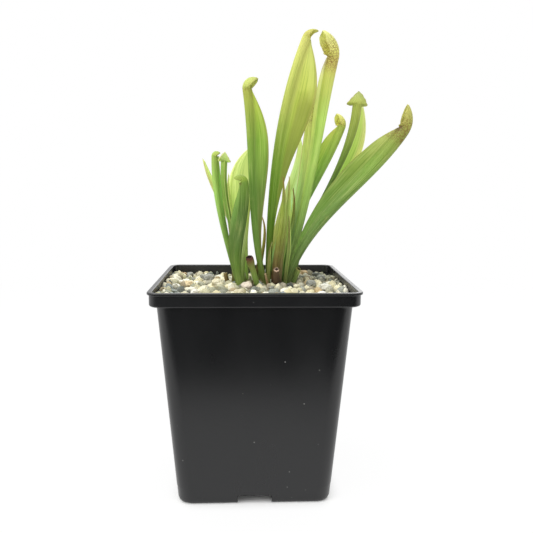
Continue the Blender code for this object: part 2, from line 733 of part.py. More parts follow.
    make_stub("stub_capped", green, (3.2, -2.2), (-2.5, -4.8, 119.5), 1.3, 1.9, pit=1.5)
    make_stub("stub_ringed", straw, (11.5, -2.8), (12, -4.8, 113.0), 1.4, 1.5, pit=2.2)
    make_stub("stub_right", green, (20.5, 7.5), (25, 8.0, 111.5), 1.1, 1.5, pit=1.2)
    make_stub("stub_left", dark, (-5, 6), (-6.0, 5.6, 108.5), 1.3, 1.8, pit=1.0)
    make_stub("sheath_left", straw, (-13, 7.5), (-15.5, 7, 109.5), 1.2, 1.1)
    make_stub("dry_strand_front", straw, (8.7, -3.3), (6, -4.8, 111), 0.6, 0.5)
    make_stub("dry_strand_rear", straw, (9.8, 10.0), (8.6, 10.5, 121), 0.9, 0.6)


def centre_on_floor():
    """Move the plant so that the origin is under the middle of its box."""
    bpy.context.view_layer.update()
    corners = []
    for piece in ORIGIN.children:
        if piece.hide_render:
            continue
        corners += [vert.co for vert in piece.data.vertices]
    low = [min(point[axis] for point in corners) for axis in range(2)]
    high = [max(point[axis] for point in corners) for axis in range(2)]
    ORIGIN.location = (-(low[0] + high[0]) / 2, -(low[1] + high[1]) / 2, 0)


clear_scene()
ORIGIN = bpy.data.objects.new("plant_origin", None)
bpy.context.scene.collection.objects.link(ORIGIN)
make_pot()
make_soil()
make_rhizome()
make_gravel_bed()
for number, (stone_name, stone_x, stone_y, stone_width) in enumerate(STONES):
    make_stone(stone_name, stone_x, stone_y, stone_width, number)
make_leaves()
centre_on_floor()
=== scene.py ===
"""The finished look of a pitcher plant in its black nursery pot, topped with gravel.

Shapes are laid out in millimetres round the pot's centre line and placed by the frame's pot.
"""
import math

import bmesh
import bpy
from mathutils import Matrix, Vector, noise


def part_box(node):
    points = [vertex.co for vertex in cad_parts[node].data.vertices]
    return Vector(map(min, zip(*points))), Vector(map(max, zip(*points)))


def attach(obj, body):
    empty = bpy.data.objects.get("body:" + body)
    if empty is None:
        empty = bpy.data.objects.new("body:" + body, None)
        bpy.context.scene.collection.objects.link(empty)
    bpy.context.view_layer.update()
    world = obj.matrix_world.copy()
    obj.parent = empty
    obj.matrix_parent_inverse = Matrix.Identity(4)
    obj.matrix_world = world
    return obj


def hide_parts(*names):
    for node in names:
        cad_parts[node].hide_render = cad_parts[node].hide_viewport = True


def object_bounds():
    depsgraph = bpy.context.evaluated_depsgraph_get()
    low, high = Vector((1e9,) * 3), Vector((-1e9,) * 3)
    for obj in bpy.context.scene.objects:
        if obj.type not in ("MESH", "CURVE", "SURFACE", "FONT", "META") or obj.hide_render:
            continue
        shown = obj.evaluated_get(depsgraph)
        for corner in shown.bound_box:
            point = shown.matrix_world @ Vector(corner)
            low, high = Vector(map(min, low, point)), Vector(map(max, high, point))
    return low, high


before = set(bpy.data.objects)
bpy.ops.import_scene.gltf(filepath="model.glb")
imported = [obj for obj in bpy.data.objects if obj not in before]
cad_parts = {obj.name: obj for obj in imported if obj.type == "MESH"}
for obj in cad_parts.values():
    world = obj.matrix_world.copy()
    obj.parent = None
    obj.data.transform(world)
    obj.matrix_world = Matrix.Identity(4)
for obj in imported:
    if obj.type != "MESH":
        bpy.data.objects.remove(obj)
cad_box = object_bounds()

MM = 0.001
POT_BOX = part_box("pot")
POT_AXIS = Vector(((POT_BOX[0][0] + POT_BOX[1][0]) / 2, (POT_BOX[0][1] + POT_BOX[1][1]) / 2, 0))

# Pot, as the frame has it (mm)
RIM_HALF = 50.0
BAND_HALF = 49.2
BODY_TOP_HALF = 46.4
BODY_FOOT_HALF = 38.5
POT_HEIGHT = 108.2
BAND_BOTTOM = 101.2
BEAD_BOTTOM = 107.0
FOOT_ROUNDING = 2.6
BODY_CORNER = 7.8
RIM_CORNER = 6.0
WALL = 1.2
PLATE_UNDERSIDE = 5.2
PLATE_THICKNESS = 1.4
NOTCH_WIDTH = 17.0
NOTCH_HEIGHT = 4.5
DRAIN_RADIUS = 3.5
DRAIN_SPACING = 23.0
GRAVEL_LEVEL = 101.2

# Rhizome under the leaves' feet (mm)
RHIZOME_CENTRE = Vector((5.5, 7.0, 93.6))
RHIZOME_HALF = Vector((26.0, 12.5, 7.0))
SQUARENESS = 2.6

LAMINA = 0.5                    # thickness of a leaf (mm)
SEAT_GAP = 0.3                  # between a leaf's foot and the rhizome (mm)
STONES_PER_M2 = 900000.0        # ceiling on the scatter; the spacing decides below it


# ---------------------------------------------------------------- shader helpers

def srgb(code):
    """Linear colour of a six-digit hex code."""
    levels = [int(code[k:k + 2], 16) / 255 for k in (0, 2, 4)]
    return [((v + 0.055) / 1.055) ** 2.4 if v > 0.04045 else v / 12.92 for v in levels]


def join(tree, place, value):
    if isinstance(value, Wire):
        tree.links.new(value.socket, place)
    elif isinstance(value, (list, tuple)) and len(value) == 3 and place.type == "RGBA":
        place.default_value = (*value, 1.0)
    else:
        place.default_value = value


class Wire:
    """A node's output that can stand in sums; each operator adds a Math node."""

    def __init__(self, tree, socket):
        self.tree = tree
        self.socket = socket

    def maths(self, operation, *others, swap=False):
        made = self.tree.nodes.new("ShaderNodeMath")
        made.operation = operation
        values = (*others, self) if swap else (self, *others)
        for place, value in zip(made.inputs, values):
            join(self.tree, place, value)
        return Wire(self.tree, made.outputs[0])

    def __add__(self, other):
        return self.maths("ADD", other)

    __radd__ = __add__

    def __sub__(self, other):
        return self.maths("SUBTRACT", other)

    def __rsub__(self, other):
        return self.maths("SUBTRACT", other, swap=True)

    def __mul__(self, other):
        return self.maths("MULTIPLY", other)

    __rmul__ = __mul__


class Finish:
    """A Principled material; constants go on its own sockets, the rest comes from nodes."""

    def __init__(self, name, **constants):
        self.material = bpy.data.materials.new(name)
        self.material.use_nodes = True
        self.tree = self.material.node_tree
        self.shader = self.tree.nodes["Principled BSDF"]
        for socket, value in constants.items():
            self.shader.inputs[socket.replace("_", " ")].default_value = value

    def node(self, kind, settings=None, sockets=None, out=0):
        made = self.tree.nodes.new(kind)
        for key, value in (settings or {}).items():
            if key == "stops":
                ramp = made.color_ramp
                while len(ramp.elements) < len(value):
                    ramp.elements.new(0.5)
                for element, (position, colour) in zip(ramp.elements, value):
                    element.position = position
                for element, (position, colour) in zip(ramp.elements, value):
                    element.color = (*colour, 1.0)
            else:
                setattr(made, key, value)
        for key, value in (sockets or {}).items():
            join(self.tree, made.inputs[key], value)
        return Wire(self.tree, made.outputs[out])

    def read(self, name):
        return self.node("ShaderNodeAttribute", {"attribute_name": name}, out="Fac")

    def place(self):
        return self.node("ShaderNodeTexCoord", out="Object")

    def point(self, x=0.0, y=0.0, z=0.0):
        return self.node("ShaderNodeCombineXYZ", sockets={"X": x, "Y": y, "Z": z})

    def noise(self, where, scale, detail=3.0, roughness=0.5):
        sockets = {"Vector": where, "Scale": scale, "Detail": detail, "Roughness": roughness}
        return self.node("ShaderNodeTexNoise", sockets=sockets, out="Fac")

    def cells(self, where, scale, feature="F1"):
        sockets = {"Vector": where, "Scale": scale}
        return self.node("ShaderNodeTexVoronoi", {"feature": feature}, sockets, "Distance")

    def ramp(self, value, stops):
        return self.node("ShaderNodeValToRGB", {"stops": stops}, {"Fac": value}, "Color")

    def step(self, value, low, high, start=0.0, end=1.0):
        """Smooth rise from start to end as value goes from low to high."""
        sockets = {"Value": value, 1: low, 2: high, 3: start, 4: end}
        return self.node("ShaderNodeMapRange", {"interpolation_type": "SMOOTHSTEP"}, sockets)

    def blend(self, share, first, second, mode="MIX"):
        settings = {"data_type": "RGBA", "blend_type": mode}
        return self.node("ShaderNodeMix", settings, {0: share, 6: first, 7: second}, 2)

    def bump(self, height, distance, strength=1.0, under=None):
        sockets = {"Height": height, "Distance": distance, "Strength": strength}
        if under is not None:
            sockets["Normal"] = under
        return self.node("ShaderNodeBump", sockets=sockets)

    def glow(self, colour, relief, share):
        """Let some light through a thin leaf."""
        veil = self.tree.nodes.new("ShaderNodeBsdfTranslucent")
        join(self.tree, veil.inputs["Color"], colour)
        join(self.tree, veil.inputs["Normal"], relief)
        mix = self.tree.nodes.new("ShaderNodeMixShader")
        mix.inputs[0].default_value = share
        self.tree.links.new(self.shader.outputs[0], mix.inputs[1])
        self.tree.links.new(veil.outputs[0], mix.inputs[2])
        self.tree.links.new(mix.outputs[0], self.tree.nodes["Material Output"].inputs["Surface"])

    def use(self, **links):
        for socket, value in links.items():
            join(self.tree, self.shader.inputs[socket.replace("_", " ")], value)
        return self.material


# ---------------------------------------------------------------- mesh helpers

class Skin:
    """Vertices in mm with named values, and faces, gathered into one mesh."""

    def __init__(self):
        self.points = []
        self.values = {}
        self.faces = []
        self.length = 1.0

    def vert(self, point, **values):
        self.points.append(Vector(point) * MM + POT_AXIS)
        number = len(self.points) - 1
        for key, value in values.items():
            self.values.setdefault(key, {})[number] = value
        return number

    def loft(self, rings, ring_closed=True):
        for low, high in zip(rings, rings[1:]):
            count = len(low)
            for k in range(count if ring_closed else count - 1):
                j = (k + 1) % count
                self.faces.append((low[k], low[j], high[j], high[k]))

    def fan(self, ring, middle):
        for k, number in enumerate(ring):
            self.faces.append((number, ring[(k + 1) % len(ring)], middle))

    def mesh(self, name):
        made = bpy.data.meshes.new(name)
        made.from_pydata(self.points, [], self.faces)
        for key, found in self.values.items():
            layer = made.attributes.new(key, "FLOAT", "POINT")
            for number, value in found.items():
                layer.data[number].value = value
        bm = bmesh.new()
        bm.from_mesh(made)
        bmesh.ops.recalc_face_normals(bm, faces=bm.faces)
        bm.to_mesh(made)
        bm.free()
        return made


def linked(name, data):
    """A new object in the scene."""
    made = bpy.data.objects.new(name, data)
    bpy.context.scene.collection.objects.link(made)
    return made


def add_piece(name, mesh, material, nodes, sharp=None):
    """Link a finished mesh, held inside the plant's box, as a piece that stands for frame nodes."""
    for vert in mesh.vertices:
        vert.co = [min(max(value, least), most) for value, least, most in zip(vert.co, *cad_box)]
    mesh.shade_smooth()
    if sharp is not None:
        mesh.set_sharp_from_angle(angle=math.radians(sharp))
    mesh.materials.clear()
    mesh.materials.append(material)
    piece = linked(name, mesh)
    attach(piece, "root")
    if nodes:
        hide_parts(*nodes)
    return piece


def dress(node, material):
    """Give a frame node that stays in view its finish."""
    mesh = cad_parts[node].data
    mesh.materials.clear()
    mesh.materials.append(material)


def plain_mesh(holder):
    """Evaluate a holder's modifiers into a plain mesh and drop the holder."""
    graph = bpy.context.evaluated_depsgraph_get()
    made = bpy.data.meshes.new_from_object(holder.evaluated_get(graph))
    bpy.data.objects.remove(holder, do_unlink=True)
    return made


def smooth(low, high, value):
    share = min(1.0, max(0.0, (value - low) / (high - low)))
    return share * share * (3 - 2 * share)


# ---------------------------------------------------------------- pot

def rounded_square(half, corner, z, steps=10):
    points = []
    for quarter in range(4):
        heading = quarter * math.pi / 2
        middle = Vector((math.cos(heading + math.pi / 4), math.sin(heading + math.pi / 4), 0))
        middle *= (half - corner) * math.sqrt(2)
        for k in range(steps + 1):
            angle = heading + k / steps * math.pi / 2
            points.append(middle + Vector((math.cos(angle) * corner, math.sin(angle) * corner, z)))
    return points


def body_half(z):
    share = (z - FOOT_ROUNDING) / (BAND_BOTTOM - FOOT_ROUNDING)
    return BODY_FOOT_HALF + (BODY_TOP_HALF - BODY_FOOT_HALF) * share


def inner_half(z):
    return body_half(z) - WALL


def quarter_round(start, end, corner_in, steps=4):
    """Levels (half, corner, z) of a rounded edge from start to end, bulging outwards."""
    levels = []
    for k in range(1, steps):
        angle = k / steps * math.pi / 2
        share_out, share_up = math.sin(angle), 1 - math.cos(angle)
        if not corner_in:
            share_out, share_up = 1 - math.cos(angle), math.sin(angle)
        levels.append((
            start[0] + (end[0] - start[0]) * share_out,
            start[1] + (end[1] - start[1]) * share_out,
            start[2] + (end[2] - start[2]) * share_up,
        ))
    return [start] + levels + [end]


def pot_profile():
    """(half width, corner radius, height) from the underside over the rim to the floor."""
    plate_top = PLATE_UNDERSIDE + PLATE_THICKNESS
    skirt = body_half(PLATE_UNDERSIDE) - 1.7
    foot = (BODY_FOOT_HALF - 1.6, BODY_CORNER - 1.4, 0.0)
    shoulder = (BODY_FOOT_HALF, BODY_CORNER, FOOT_ROUNDING)
    step_line = 8.0
    collar = RIM_HALF - 2.3
    levels = [
        (skirt, BODY_CORNER - 1.7, PLATE_UNDERSIDE),
        (skirt - 0.4, BODY_CORNER - 2.1, 0.0),
    ]
    levels += quarter_round(foot, shoulder, True, 5)
    levels += [
        (body_half(step_line) - 0.02, BODY_CORNER, step_line - 0.15),
        (body_half(step_line) + 0.1, BODY_CORNER, step_line + 0.15),
        (body_half(BAND_BOTTOM - 1.2), BODY_CORNER, BAND_BOTTOM - 1.2),
        (body_half(BAND_BOTTOM) + 0.05, BODY_CORNER, BAND_BOTTOM - 0.4),
        (body_half(BAND_BOTTOM) + 0.5, BODY_CORNER, BAND_BOTTOM),
    ]
    levels += quarter_round(
        (BAND_HALF - 0.9, RIM_CORNER, BAND_BOTTOM + 0.05), (BAND_HALF, RIM_CORNER, BAND_BOTTOM + 1.0), True)
    levels += [(BAND_HALF, RIM_CORNER, BEAD_BOTTOM - 0.5), (BAND_HALF + 0.15, RIM_CORNER, BEAD_BOTTOM - 0.2)]
    levels += quarter_round(
        (RIM_HALF - 0.3, RIM_CORNER, BEAD_BOTTOM - 0.1), (RIM_HALF, RIM_CORNER, BEAD_BOTTOM + 0.25), True, 3)
    levels += quarter_round(
        (RIM_HALF, RIM_CORNER, POT_HEIGHT - 0.45), (RIM_HALF - 0.5, RIM_CORNER - 0.4, POT_HEIGHT), False)
    levels += quarter_round(
        (collar + 0.5, RIM_CORNER - 1.8, POT_HEIGHT), (collar, RIM_CORNER - 2.1, POT_HEIGHT - 0.5), True, 3)
    levels += [
        (collar - 0.2, RIM_CORNER - 2.1, BAND_BOTTOM + 1.9),
        (inner_half(BAND_BOTTOM + 1.4), BODY_CORNER - WALL, BAND_BOTTOM + 1.4),
        (inner_half(plate_top + 1.2), BODY_CORNER - WALL, plate_top + 1.2),
        (inner_half(plate_top) - 1.2, BODY_CORNER - WALL - 1.2, plate_top),
    ]
    return levels


def cutter(name, rings):
    skin = Skin()
    made = [[skin.vert(point) for point in ring] for ring in rings]
    skin.loft(made)
    skin.faces.append(tuple(made[0][::-1]))
    skin.faces.append(tuple(made[-1]))
    return linked(name, skin.mesh(name))


def pot_cutters():
    """Two bars that open the notches, and the drain holes through the base plate."""
    half, over = NOTCH_WIDTH / 2, 1.0
    outline = [(-half, -1.0), (half, -1.0), (half, NOTCH_HEIGHT - over)]
    outline += [(half - 0.3, NOTCH_HEIGHT - 0.3), (half - over, NOTCH_HEIGHT)]
    outline += [(-across, z) for across, z in outline[:1:-1]]
    reach = (-RIM_HALF, RIM_HALF)
    made = [
        cutter("notch_bar_side", [[Vector((end, across, z)) for across, z in outline] for end in reach]),
        cutter("notch_bar_front", [[Vector((across, end, z)) for across, z in outline] for end in reach]),
    ]
    turns = [k * math.tau / 24 for k in range(24)]
    for column in (-1, 0, 1):
        for row in (-1, 0, 1):
            middle = Vector((column, row, 0)) * DRAIN_SPACING
            rings = []
            for z in (PLATE_UNDERSIDE - 1, PLATE_UNDERSIDE + PLATE_THICKNESS + 1):
                offsets = [Vector((math.cos(a), math.sin(a), 0)) * DRAIN_RADIUS for a in turns]
                rings.append([middle + offset + Vector((0, 0, z)) for offset in offsets])
            made.append(cutter("drain_bar", rings))
    return made


def black_plastic():
    """Satin moulded polypropylene: faint flow marks, dust specks and fine scuffs."""
    look = Finish("black_plastic_finish", Specular_IOR_Level=0.57)
    place = look.place()
    drawn = look.node("ShaderNodeVectorMath", {"operation": "MULTIPLY"}, {0: place, 1: (1.0, 1.0, 0.25)})
    flow = look.noise(drawn, 60.0)
    fine = look.noise(place, 900.0, 2.0)
    speck = look.step(look.cells(place, 190.0), 0.0, 0.075, 1.0, 0.0)
    rare = look.step(look.noise(place, 60.0, 1.0), 0.5, 0.56)
    speck = speck * rare
    dark = look.blend(flow, srgb("0A0B0D"), srgb("101113"))
    colour = look.blend(speck * 0.75, dark, srgb("A8A8A4"))
    grain = look.bump(fine, 0.00004, 0.5)
    return look.use(
        Base_Color=colour,
        Roughness=look.step(flow, 0.3, 0.75, 0.27, 0.34) + speck * 0.3,
        Normal=look.bump(flow, 0.0002, 0.12, grain))


def make_pot():
    skin = Skin()
    rings = [[skin.vert(point) for point in rounded_square(*level)] for level in pot_profile()]
    skin.loft(rings)
    skin.faces.append(tuple(rings[0][::-1]))
    skin.faces.append(tuple(rings[-1]))
    holder = linked("pot_holder", skin.mesh("pot_shell"))
    bars = pot_cutters()
    for bar in bars:
        cut = holder.modifiers.new("cut", "BOOLEAN")
        cut.operation = "DIFFERENCE"
        cut.solver = "EXACT"
        cut.object = bar
    mesh = plain_mesh(holder)
    for bar in bars:
        bpy.data.objects.remove(bar, do_unlink=True)
    piece = add_piece("nursery_pot", mesh, black_plastic(), ["pot"], 38)
    weigh = piece.modifiers.new("flat_faces_first", "WEIGHTED_NORMAL")
    weigh.keep_sharp = True


# ---------------------------------------------------------------- fill

def peat():
    look = Finish("potting_mix_finish")
    place = look.place()
    crumb = look.noise(place, 420.0, 5.0, 0.65)
    fibre = look.step(look.noise(place, 1300.0, 2.0), 0.62, 0.7)
    colour = look.ramp(crumb, [(0.3, srgb("1B130D")), (0.55, srgb("3A2A1C")), (0.8, srgb("5A4632"))])
    return look.use(
        Base_Color=look.blend(fibre * 0.4, colour, srgb("8A7350")),
        Roughness=look.step(crumb, 0.2, 0.8, 0.98, 0.85),
        Normal=look.bump(crumb, 0.0016, 1.0))


def rhizome_bark():
    look = Finish("rhizome_finish")
    place = look.place()
    scales = look.cells(place, 330.0)
    mottle = look.noise(place, 160.0, 4.0, 0.6)
    colour = look.ramp(mottle, [(0.3, srgb("2C1B10")), (0.55, srgb("5B3B20")), (0.75, srgb("7E6136"))])
    return look.use(
        Base_Color=look.blend(look.step(scales, 0.2, 0.8) * 0.4, colour, srgb("241408")),
        Roughness=look.step(mottle, 0.2, 0.8, 0.9, 0.7),
        Normal=look.bump(scales, 0.0012, 0.8))


def pebble_look(name, pale, deep, vein, by_stone=False):
    """Matt grit: tones that differ from stone to stone, grains, stains and a pitted skin."""
    look = Finish(name)
    place = look.place()
    grain = look.noise(place, 1500.0, 3.0, 0.6)
    stain = look.noise(place, 300.0, 4.0, 0.6)
    if by_stone:
        tone = look.read("tone")
        body = look.ramp(tone, [
            (0.0, srgb("F6F3E2")), (0.18, srgb("E8E2C2")), (0.34, srgb("D6CDA4")), (0.46, srgb("A8A88C")),
            (0.56, srgb("72766C")), (0.66, srgb("D8D2B6")), (0.78, srgb("7C8480")), (0.87, srgb("BCA67A")),
            (0.94, srgb("50544E")), (1.0, srgb("9CA49C"))])
        side = look.node("ShaderNodeSeparateXYZ", sockets={"Vector": place}, out="X")
        back = look.node("ShaderNodeSeparateXYZ", sockets={"Vector": place}, out="Y")
        # The stones at the back right are darkened by half towards grey.
        right = look.step(side, POT_AXIS.x + 0.008, POT_AXIS.x + 0.022) * look.step(back, 0.002, 0.014)
        body = look.blend(right * 0.5, body, srgb("5E6256"))
    else:
        body = look.blend(look.step(stain, 0.35, 0.65), pale, deep)
    body = look.blend(look.step(stain, 0.5, 0.72) * 0.35, body, vein)
    body = look.blend(look.step(grain, 0.5, 0.75) * 0.3, body, srgb("F4F1E6"))
    body = look.blend(look.step(grain, 0.25, 0.42, 1.0, 0.0) * 0.5, body, srgb("4C4A3A"))
    return look.use(
        Base_Color=body,
        Roughness=look.step(grain, 0.2, 0.8, 0.72, 0.95),
        Normal=look.bump(grain, 0.0003, 0.6, look.bump(stain, 0.0009, 0.6)))


def heap(x, y):
    """Height of the gravel's surface in mm: nearly level, a little heaped round the crown."""
    near = math.exp(-((x - 4) ** 2 + (y - 1) ** 2) / 22 ** 2)
    wave = noise.noise(Vector((x, y, 3)) / 17) * 0.9
    mound = math.exp(-((x - 19) ** 2 + (y - 33) ** 2) / 15 ** 2) * 2.4
    ledge = smooth(40.5, 45.5, max(abs(x), abs(y))) * 2.8 + smooth(34, 44, -x) * 1.3
    return GRAVEL_LEVEL + near * 1.0 + wave + ledge + mound - smooth(15, 40, y) * 1.3


def gravel_tree():
    """Scatter squashed, knobbly stones over a surface: named inputs set sizes and the seed."""
    tree = bpy.data.node_groups.new("loose_gravel", "GeometryNodeTree")
    for title, kind in (
        ("Surface", "NodeSocketGeometry"), ("Spacing", "NodeSocketFloat"), ("Stone Size", "NodeSocketFloat"),
        ("Stretch", "NodeSocketVector"), ("Knobbliness", "NodeSocketFloat"), ("Seed", "NodeSocketInt"),
        ("Finish", "NodeSocketMaterial"),
    ):
        tree.interface.new_socket(title, in_out="INPUT", socket_type=kind)
    tree.interface.new_socket("Stones", in_out="OUTPUT", socket_type="NodeSocketGeometry")

    def add(kind, settings=None, **sockets):
        made = tree.nodes.new(kind)
        for key, value in (settings or {}).items():
            setattr(made, key, value)
        for key, value in sockets.items():
            place = made.inputs[key.replace("_", " ")]
            if isinstance(value, bpy.types.NodeSocket):
                tree.links.new(value, place)
            else:
                place.default_value = value
        return made

    given = add("NodeGroupInput").outputs
    scatter = add(
        "GeometryNodeDistributePointsOnFaces", {"distribute_method": "POISSON"},
        Mesh=given["Surface"], Distance_Min=given["Spacing"], Density_Max=STONES_PER_M2, Seed=given["Seed"])
    ball = add("GeometryNodeMeshIcoSphere", Radius=0.5, Subdivisions=2)
    turn = add("FunctionNodeRandomValue", {"data_type": "FLOAT_VECTOR"}, Seed=1)
    turn.inputs["Max"].default_value = (math.tau, math.tau, math.tau)
    shape = add("FunctionNodeRandomValue", {"data_type": "FLOAT_VECTOR"}, Seed=2)
    shape.inputs["Min"].default_value = (0.75, 0.65, 0.5)
    shape.inputs["Max"].default_value = (1.6, 1.25, 0.95)
    size = tree.nodes.new("ShaderNodeVectorMath")
    size.operation = "SCALE"
    stretch = tree.nodes.new("ShaderNodeVectorMath")
    stretch.operation = "MULTIPLY"
    tree.links.new(shape.outputs["Value"], stretch.inputs[0])
    tree.links.new(given["Stretch"], stretch.inputs[1])
    tree.links.new(stretch.outputs["Vector"], size.inputs[0])
    tree.links.new(given["Stone Size"], size.inputs["Scale"])
    stones = add(
        "GeometryNodeInstanceOnPoints", Points=scatter.outputs["Points"], Instance=ball.outputs["Mesh"],
        Rotation=turn.outputs["Value"], Scale=size.outputs["Vector"])
    tone = add("FunctionNodeRandomValue", {"data_type": "FLOAT"}, Seed=3)
    named = add("GeometryNodeStoreNamedAttribute", {"data_type": "FLOAT", "domain": "INSTANCE"},
                Geometry=stones.outputs["Instances"], Name="tone")
    tree.links.new(tone.outputs[1], named.inputs["Value"])
    real = add("GeometryNodeRealizeInstances", Geometry=named.outputs["Geometry"])
    lumps = tree.nodes.new("ShaderNodeTexNoise")
    lumps.inputs["Scale"].default_value = 420.0
    lumps.inputs["Detail"].default_value = 1.0
    centred = tree.nodes.new("ShaderNodeVectorMath")
    centred.operation = "SUBTRACT"
    centred.inputs[1].default_value = (0.5, 0.5, 0.5)
    tree.links.new(lumps.outputs["Color"], centred.inputs[0])
    push = tree.nodes.new("ShaderNodeVectorMath")
    push.operation = "SCALE"
    tree.links.new(centred.outputs["Vector"], push.inputs[0])
    tree.links.new(given["Knobbliness"], push.inputs["Scale"])
    moved = add("GeometryNodeSetPosition", Geometry=real.outputs["Geometry"], Offset=push.outputs["Vector"])
    done = add("GeometryNodeSetMaterial", Geometry=moved.outputs["Geometry"], Material=given["Finish"])
    add("NodeGroupOutput", Stones=done.outputs["Geometry"])
    return tree


def make_gravel():
    grit = pebble_look("gravel_finish", None, None, srgb("8E8A72"), by_stone=True)
    scraps = litter_look()
    tree = gravel_tree()
    layers = (
        ("gravel_small", 2.5, 3.0, 7, 0.0, 0.0, (0, 0), 46.4, (1, 1, 1), 0.55, grit, "gravel"),
        ("gravel_large", 4.8, 5.2, 21, 0.9, 0.0, (0, 0), 43.0, (1, 1, 1), 0.55, grit, "gravel"),
        ("crown_litter", 1.3, 1.5, 5, 0.8, 5.0, (-0.5, 2.8), 6.2,
         (2.2, 0.9, 0.3), 0.8, scraps, "leaf_straw"),
    )
    for title, spacing, size, seed, lift, pile, centre, half, stretch, knobs, finish, slot in layers:
        skin = Skin()
        steps = 44
        rows = []
        for i in range(steps + 1):
            row = []
            for j in range(steps + 1):
                x, y = (half * (2 * k / steps - 1) for k in (i, j))
                spill = max(0.0, abs(x) + abs(y) - 2 * half + 5.0)
                x -= math.copysign(spill / 2, x)
                y -= math.copysign(spill / 2, y)
                mound = pile * math.exp(-(x * x + y * y) / (half * 0.55) ** 2)
                x, y = x + centre[0], y + centre[1]
                row.append(skin.vert((x, y, heap(x, y) + lift + mound)))
            rows.append(row)
        skin.loft(rows, ring_closed=False)
        holder = linked(title + "_holder", skin.mesh(title))
        scatter = holder.modifiers.new("scatter", "NODES")
        scatter.node_group = tree
        wanted = {"Spacing": spacing * MM, "Stone Size": size * MM, "Knobbliness": size * knobs * MM,
                  "Stretch": stretch, "Seed": seed, "Finish": finish}
        for item in tree.interface.items_tree:
            if item.in_out == "INPUT" and item.name in wanted:
                scatter[item.identifier] = wanted[item.name]
        add_piece(title, plain_mesh(holder), finish, [], 42)
    dress("gravel_bed", shaded_grit_bed())


def litter_look():
    """Scraps of old leaf and moss, each in its own tone."""
    look = Finish("crown_litter_finish")
    place = look.place()
    fibre = look.noise(place, 700.0, 3.0, 0.6)
    body = look.ramp(look.read("tone"), [
        (0.0, srgb("4A3A26")), (0.25, srgb("7A6A40")), (0.45, srgb("A8A078")), (0.6, srgb("6E7A3C")),
        (0.8, srgb("C8C4A4")), (1.0, srgb("5A4632"))])
    return look.use(
        Base_Color=look.blend(look.step(fibre, 0.4, 0.7) * 0.4, body, srgb("3A2E1E")),
        Roughness=look.step(fibre, 0.2, 0.8, 0.75, 0.95),
        Normal=look.bump(fibre, 0.0003, 0.7))


def shaded_grit_bed():
    """The bed seen in the gaps between stones, coloured dark as painted shade for those gaps, darker still
    along the creases between its grains.
    """
    look = Finish("shaded_grit_bed_finish")
    place = look.place()
    cells = look.cells(place, 620.0)
    mottle = look.noise(place, 300.0, 3.0)
    colour = look.ramp(mottle, [(0.3, srgb("3E3A2C")), (0.6, srgb("615C48")), (0.8, srgb("7E7860"))])
    return look.use(
        Base_Color=look.blend(look.step(cells, 0.35, 0.7) * 0.7, colour, srgb("3A372C")),
        Roughness=look.step(mottle, 0.2, 0.8, 0.8, 0.95),
        Normal=look.bump(cells, -0.0012, 1.0))


STONE_COLOURS = {
    "amber": ("E6D4AC", "CDB78A", "A88F62"), "cream": ("E2DCC2", "CEC5A2", "A39A76"),
    "pink": ("D9CDBB", "C4B4A0", "A08C78"), "white": ("F2F0E8", "DDDACC", "B5B1A0"),
    "tan": ("B99F78", "A08861", "7D6A4A"), "grey": ("9FA096", "83857C", "5F625C"),
    "buff": ("D6CFB4", "BDB592", "978F70"), "dark": ("6F726C", "585B57", "8C8D80"),
    "pale": ("DAD9CC", "C0BFAF", "989785"), "chalk": ("EDEBE2", "D5D2C5", "A9A697"),
    "slate": ("8C9499", "6F777C", "A8ADAE"),
}


def make_stones():
    """Each larger stone stands on its own frame node's box."""
    looks = {}
    seed = 0
    for node in sorted(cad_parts):
        if not node.startswith("stone_"):
            continue
        seed += 1
        kind = node.split("_")[1]
        if kind not in looks:
            pale, deep, vein = (srgb(code) for code in STONE_COLOURS[kind])
            looks[kind] = pebble_look(f"pebble_{kind}_finish", pale, deep, vein)
        low, high = (Vector(corner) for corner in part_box(node))
        middle, half = (low + high) / 2, (high - low) / 2
        bm = bmesh.new()
        bmesh.ops.create_icosphere(bm, subdivisions=4, radius=1.0)
        shift = Vector((seed * 3.1, seed * 1.7, 0))
        for vert in bm.verts:
            out = vert.co.normalized()
            broad = noise.noise(out * 1.1 + shift) * 0.30
            knob = noise.noise(out * 2.6 + shift) * 0.16 + noise.noise(out * 7.0 + shift) * 0.045
            box = (abs(out.x) ** 3 + abs(out.y) ** 3 + abs(out.z) ** 3) ** (-1 / 3)
            vert.co = out * box * (0.86 + broad + knob)
        for axis in range(3):
            least = min(vert.co[axis] for vert in bm.verts)
            most = max(vert.co[axis] for vert in bm.verts)
            for vert in bm.verts:
                share = (vert.co[axis] - least) / (most - least) * 2 - 1
                vert.co[axis] = middle[axis] + half[axis] * share
        mesh = bpy.data.meshes.new(node)
        bm.to_mesh(mesh)
        bm.free()
        add_piece(node.replace("stone_", "pebble_"), mesh, looks[kind], [node])


# ---------------------------------------------------------------- leaves: shape

def rhizome_top(x, y):
    across = abs((x - RHIZOME_CENTRE.x) / RHIZOME_HALF.x) ** SQUARENESS
    deep = abs((y - RHIZOME_CENTRE.y) / RHIZOME_HALF.y) ** SQUARENESS
    left = max(0.0, 1.0 - across - deep)
    return RHIZOME_CENTRE.z + RHIZOME_HALF.z * left ** (1 / SQUARENESS)


def curve_through(points):
    """A cubic through four points, spaced by the distance between them."""
    knots = [0.0]
    for first, second in zip(points, points[1:]):
        knots.append(knots[-1] + (second - first).length)
    knots = [knot / knots[-1] for knot in knots]

    def at(t):
        total = Vector()
        for i, point in enumerate(points):
            weight = 1.0
            for j, knot in enumerate(knots):
                if j != i:
                    weight *= (t - knot) / (knots[i] - knot)
            total += point * weight
        return total

    return at


def leaf_line(foot, *others):
    start = Vector((foot[0], foot[1], rhizome_top(*foot) + SEAT_GAP))
    return curve_through([start] + [Vector(point) for point in others])


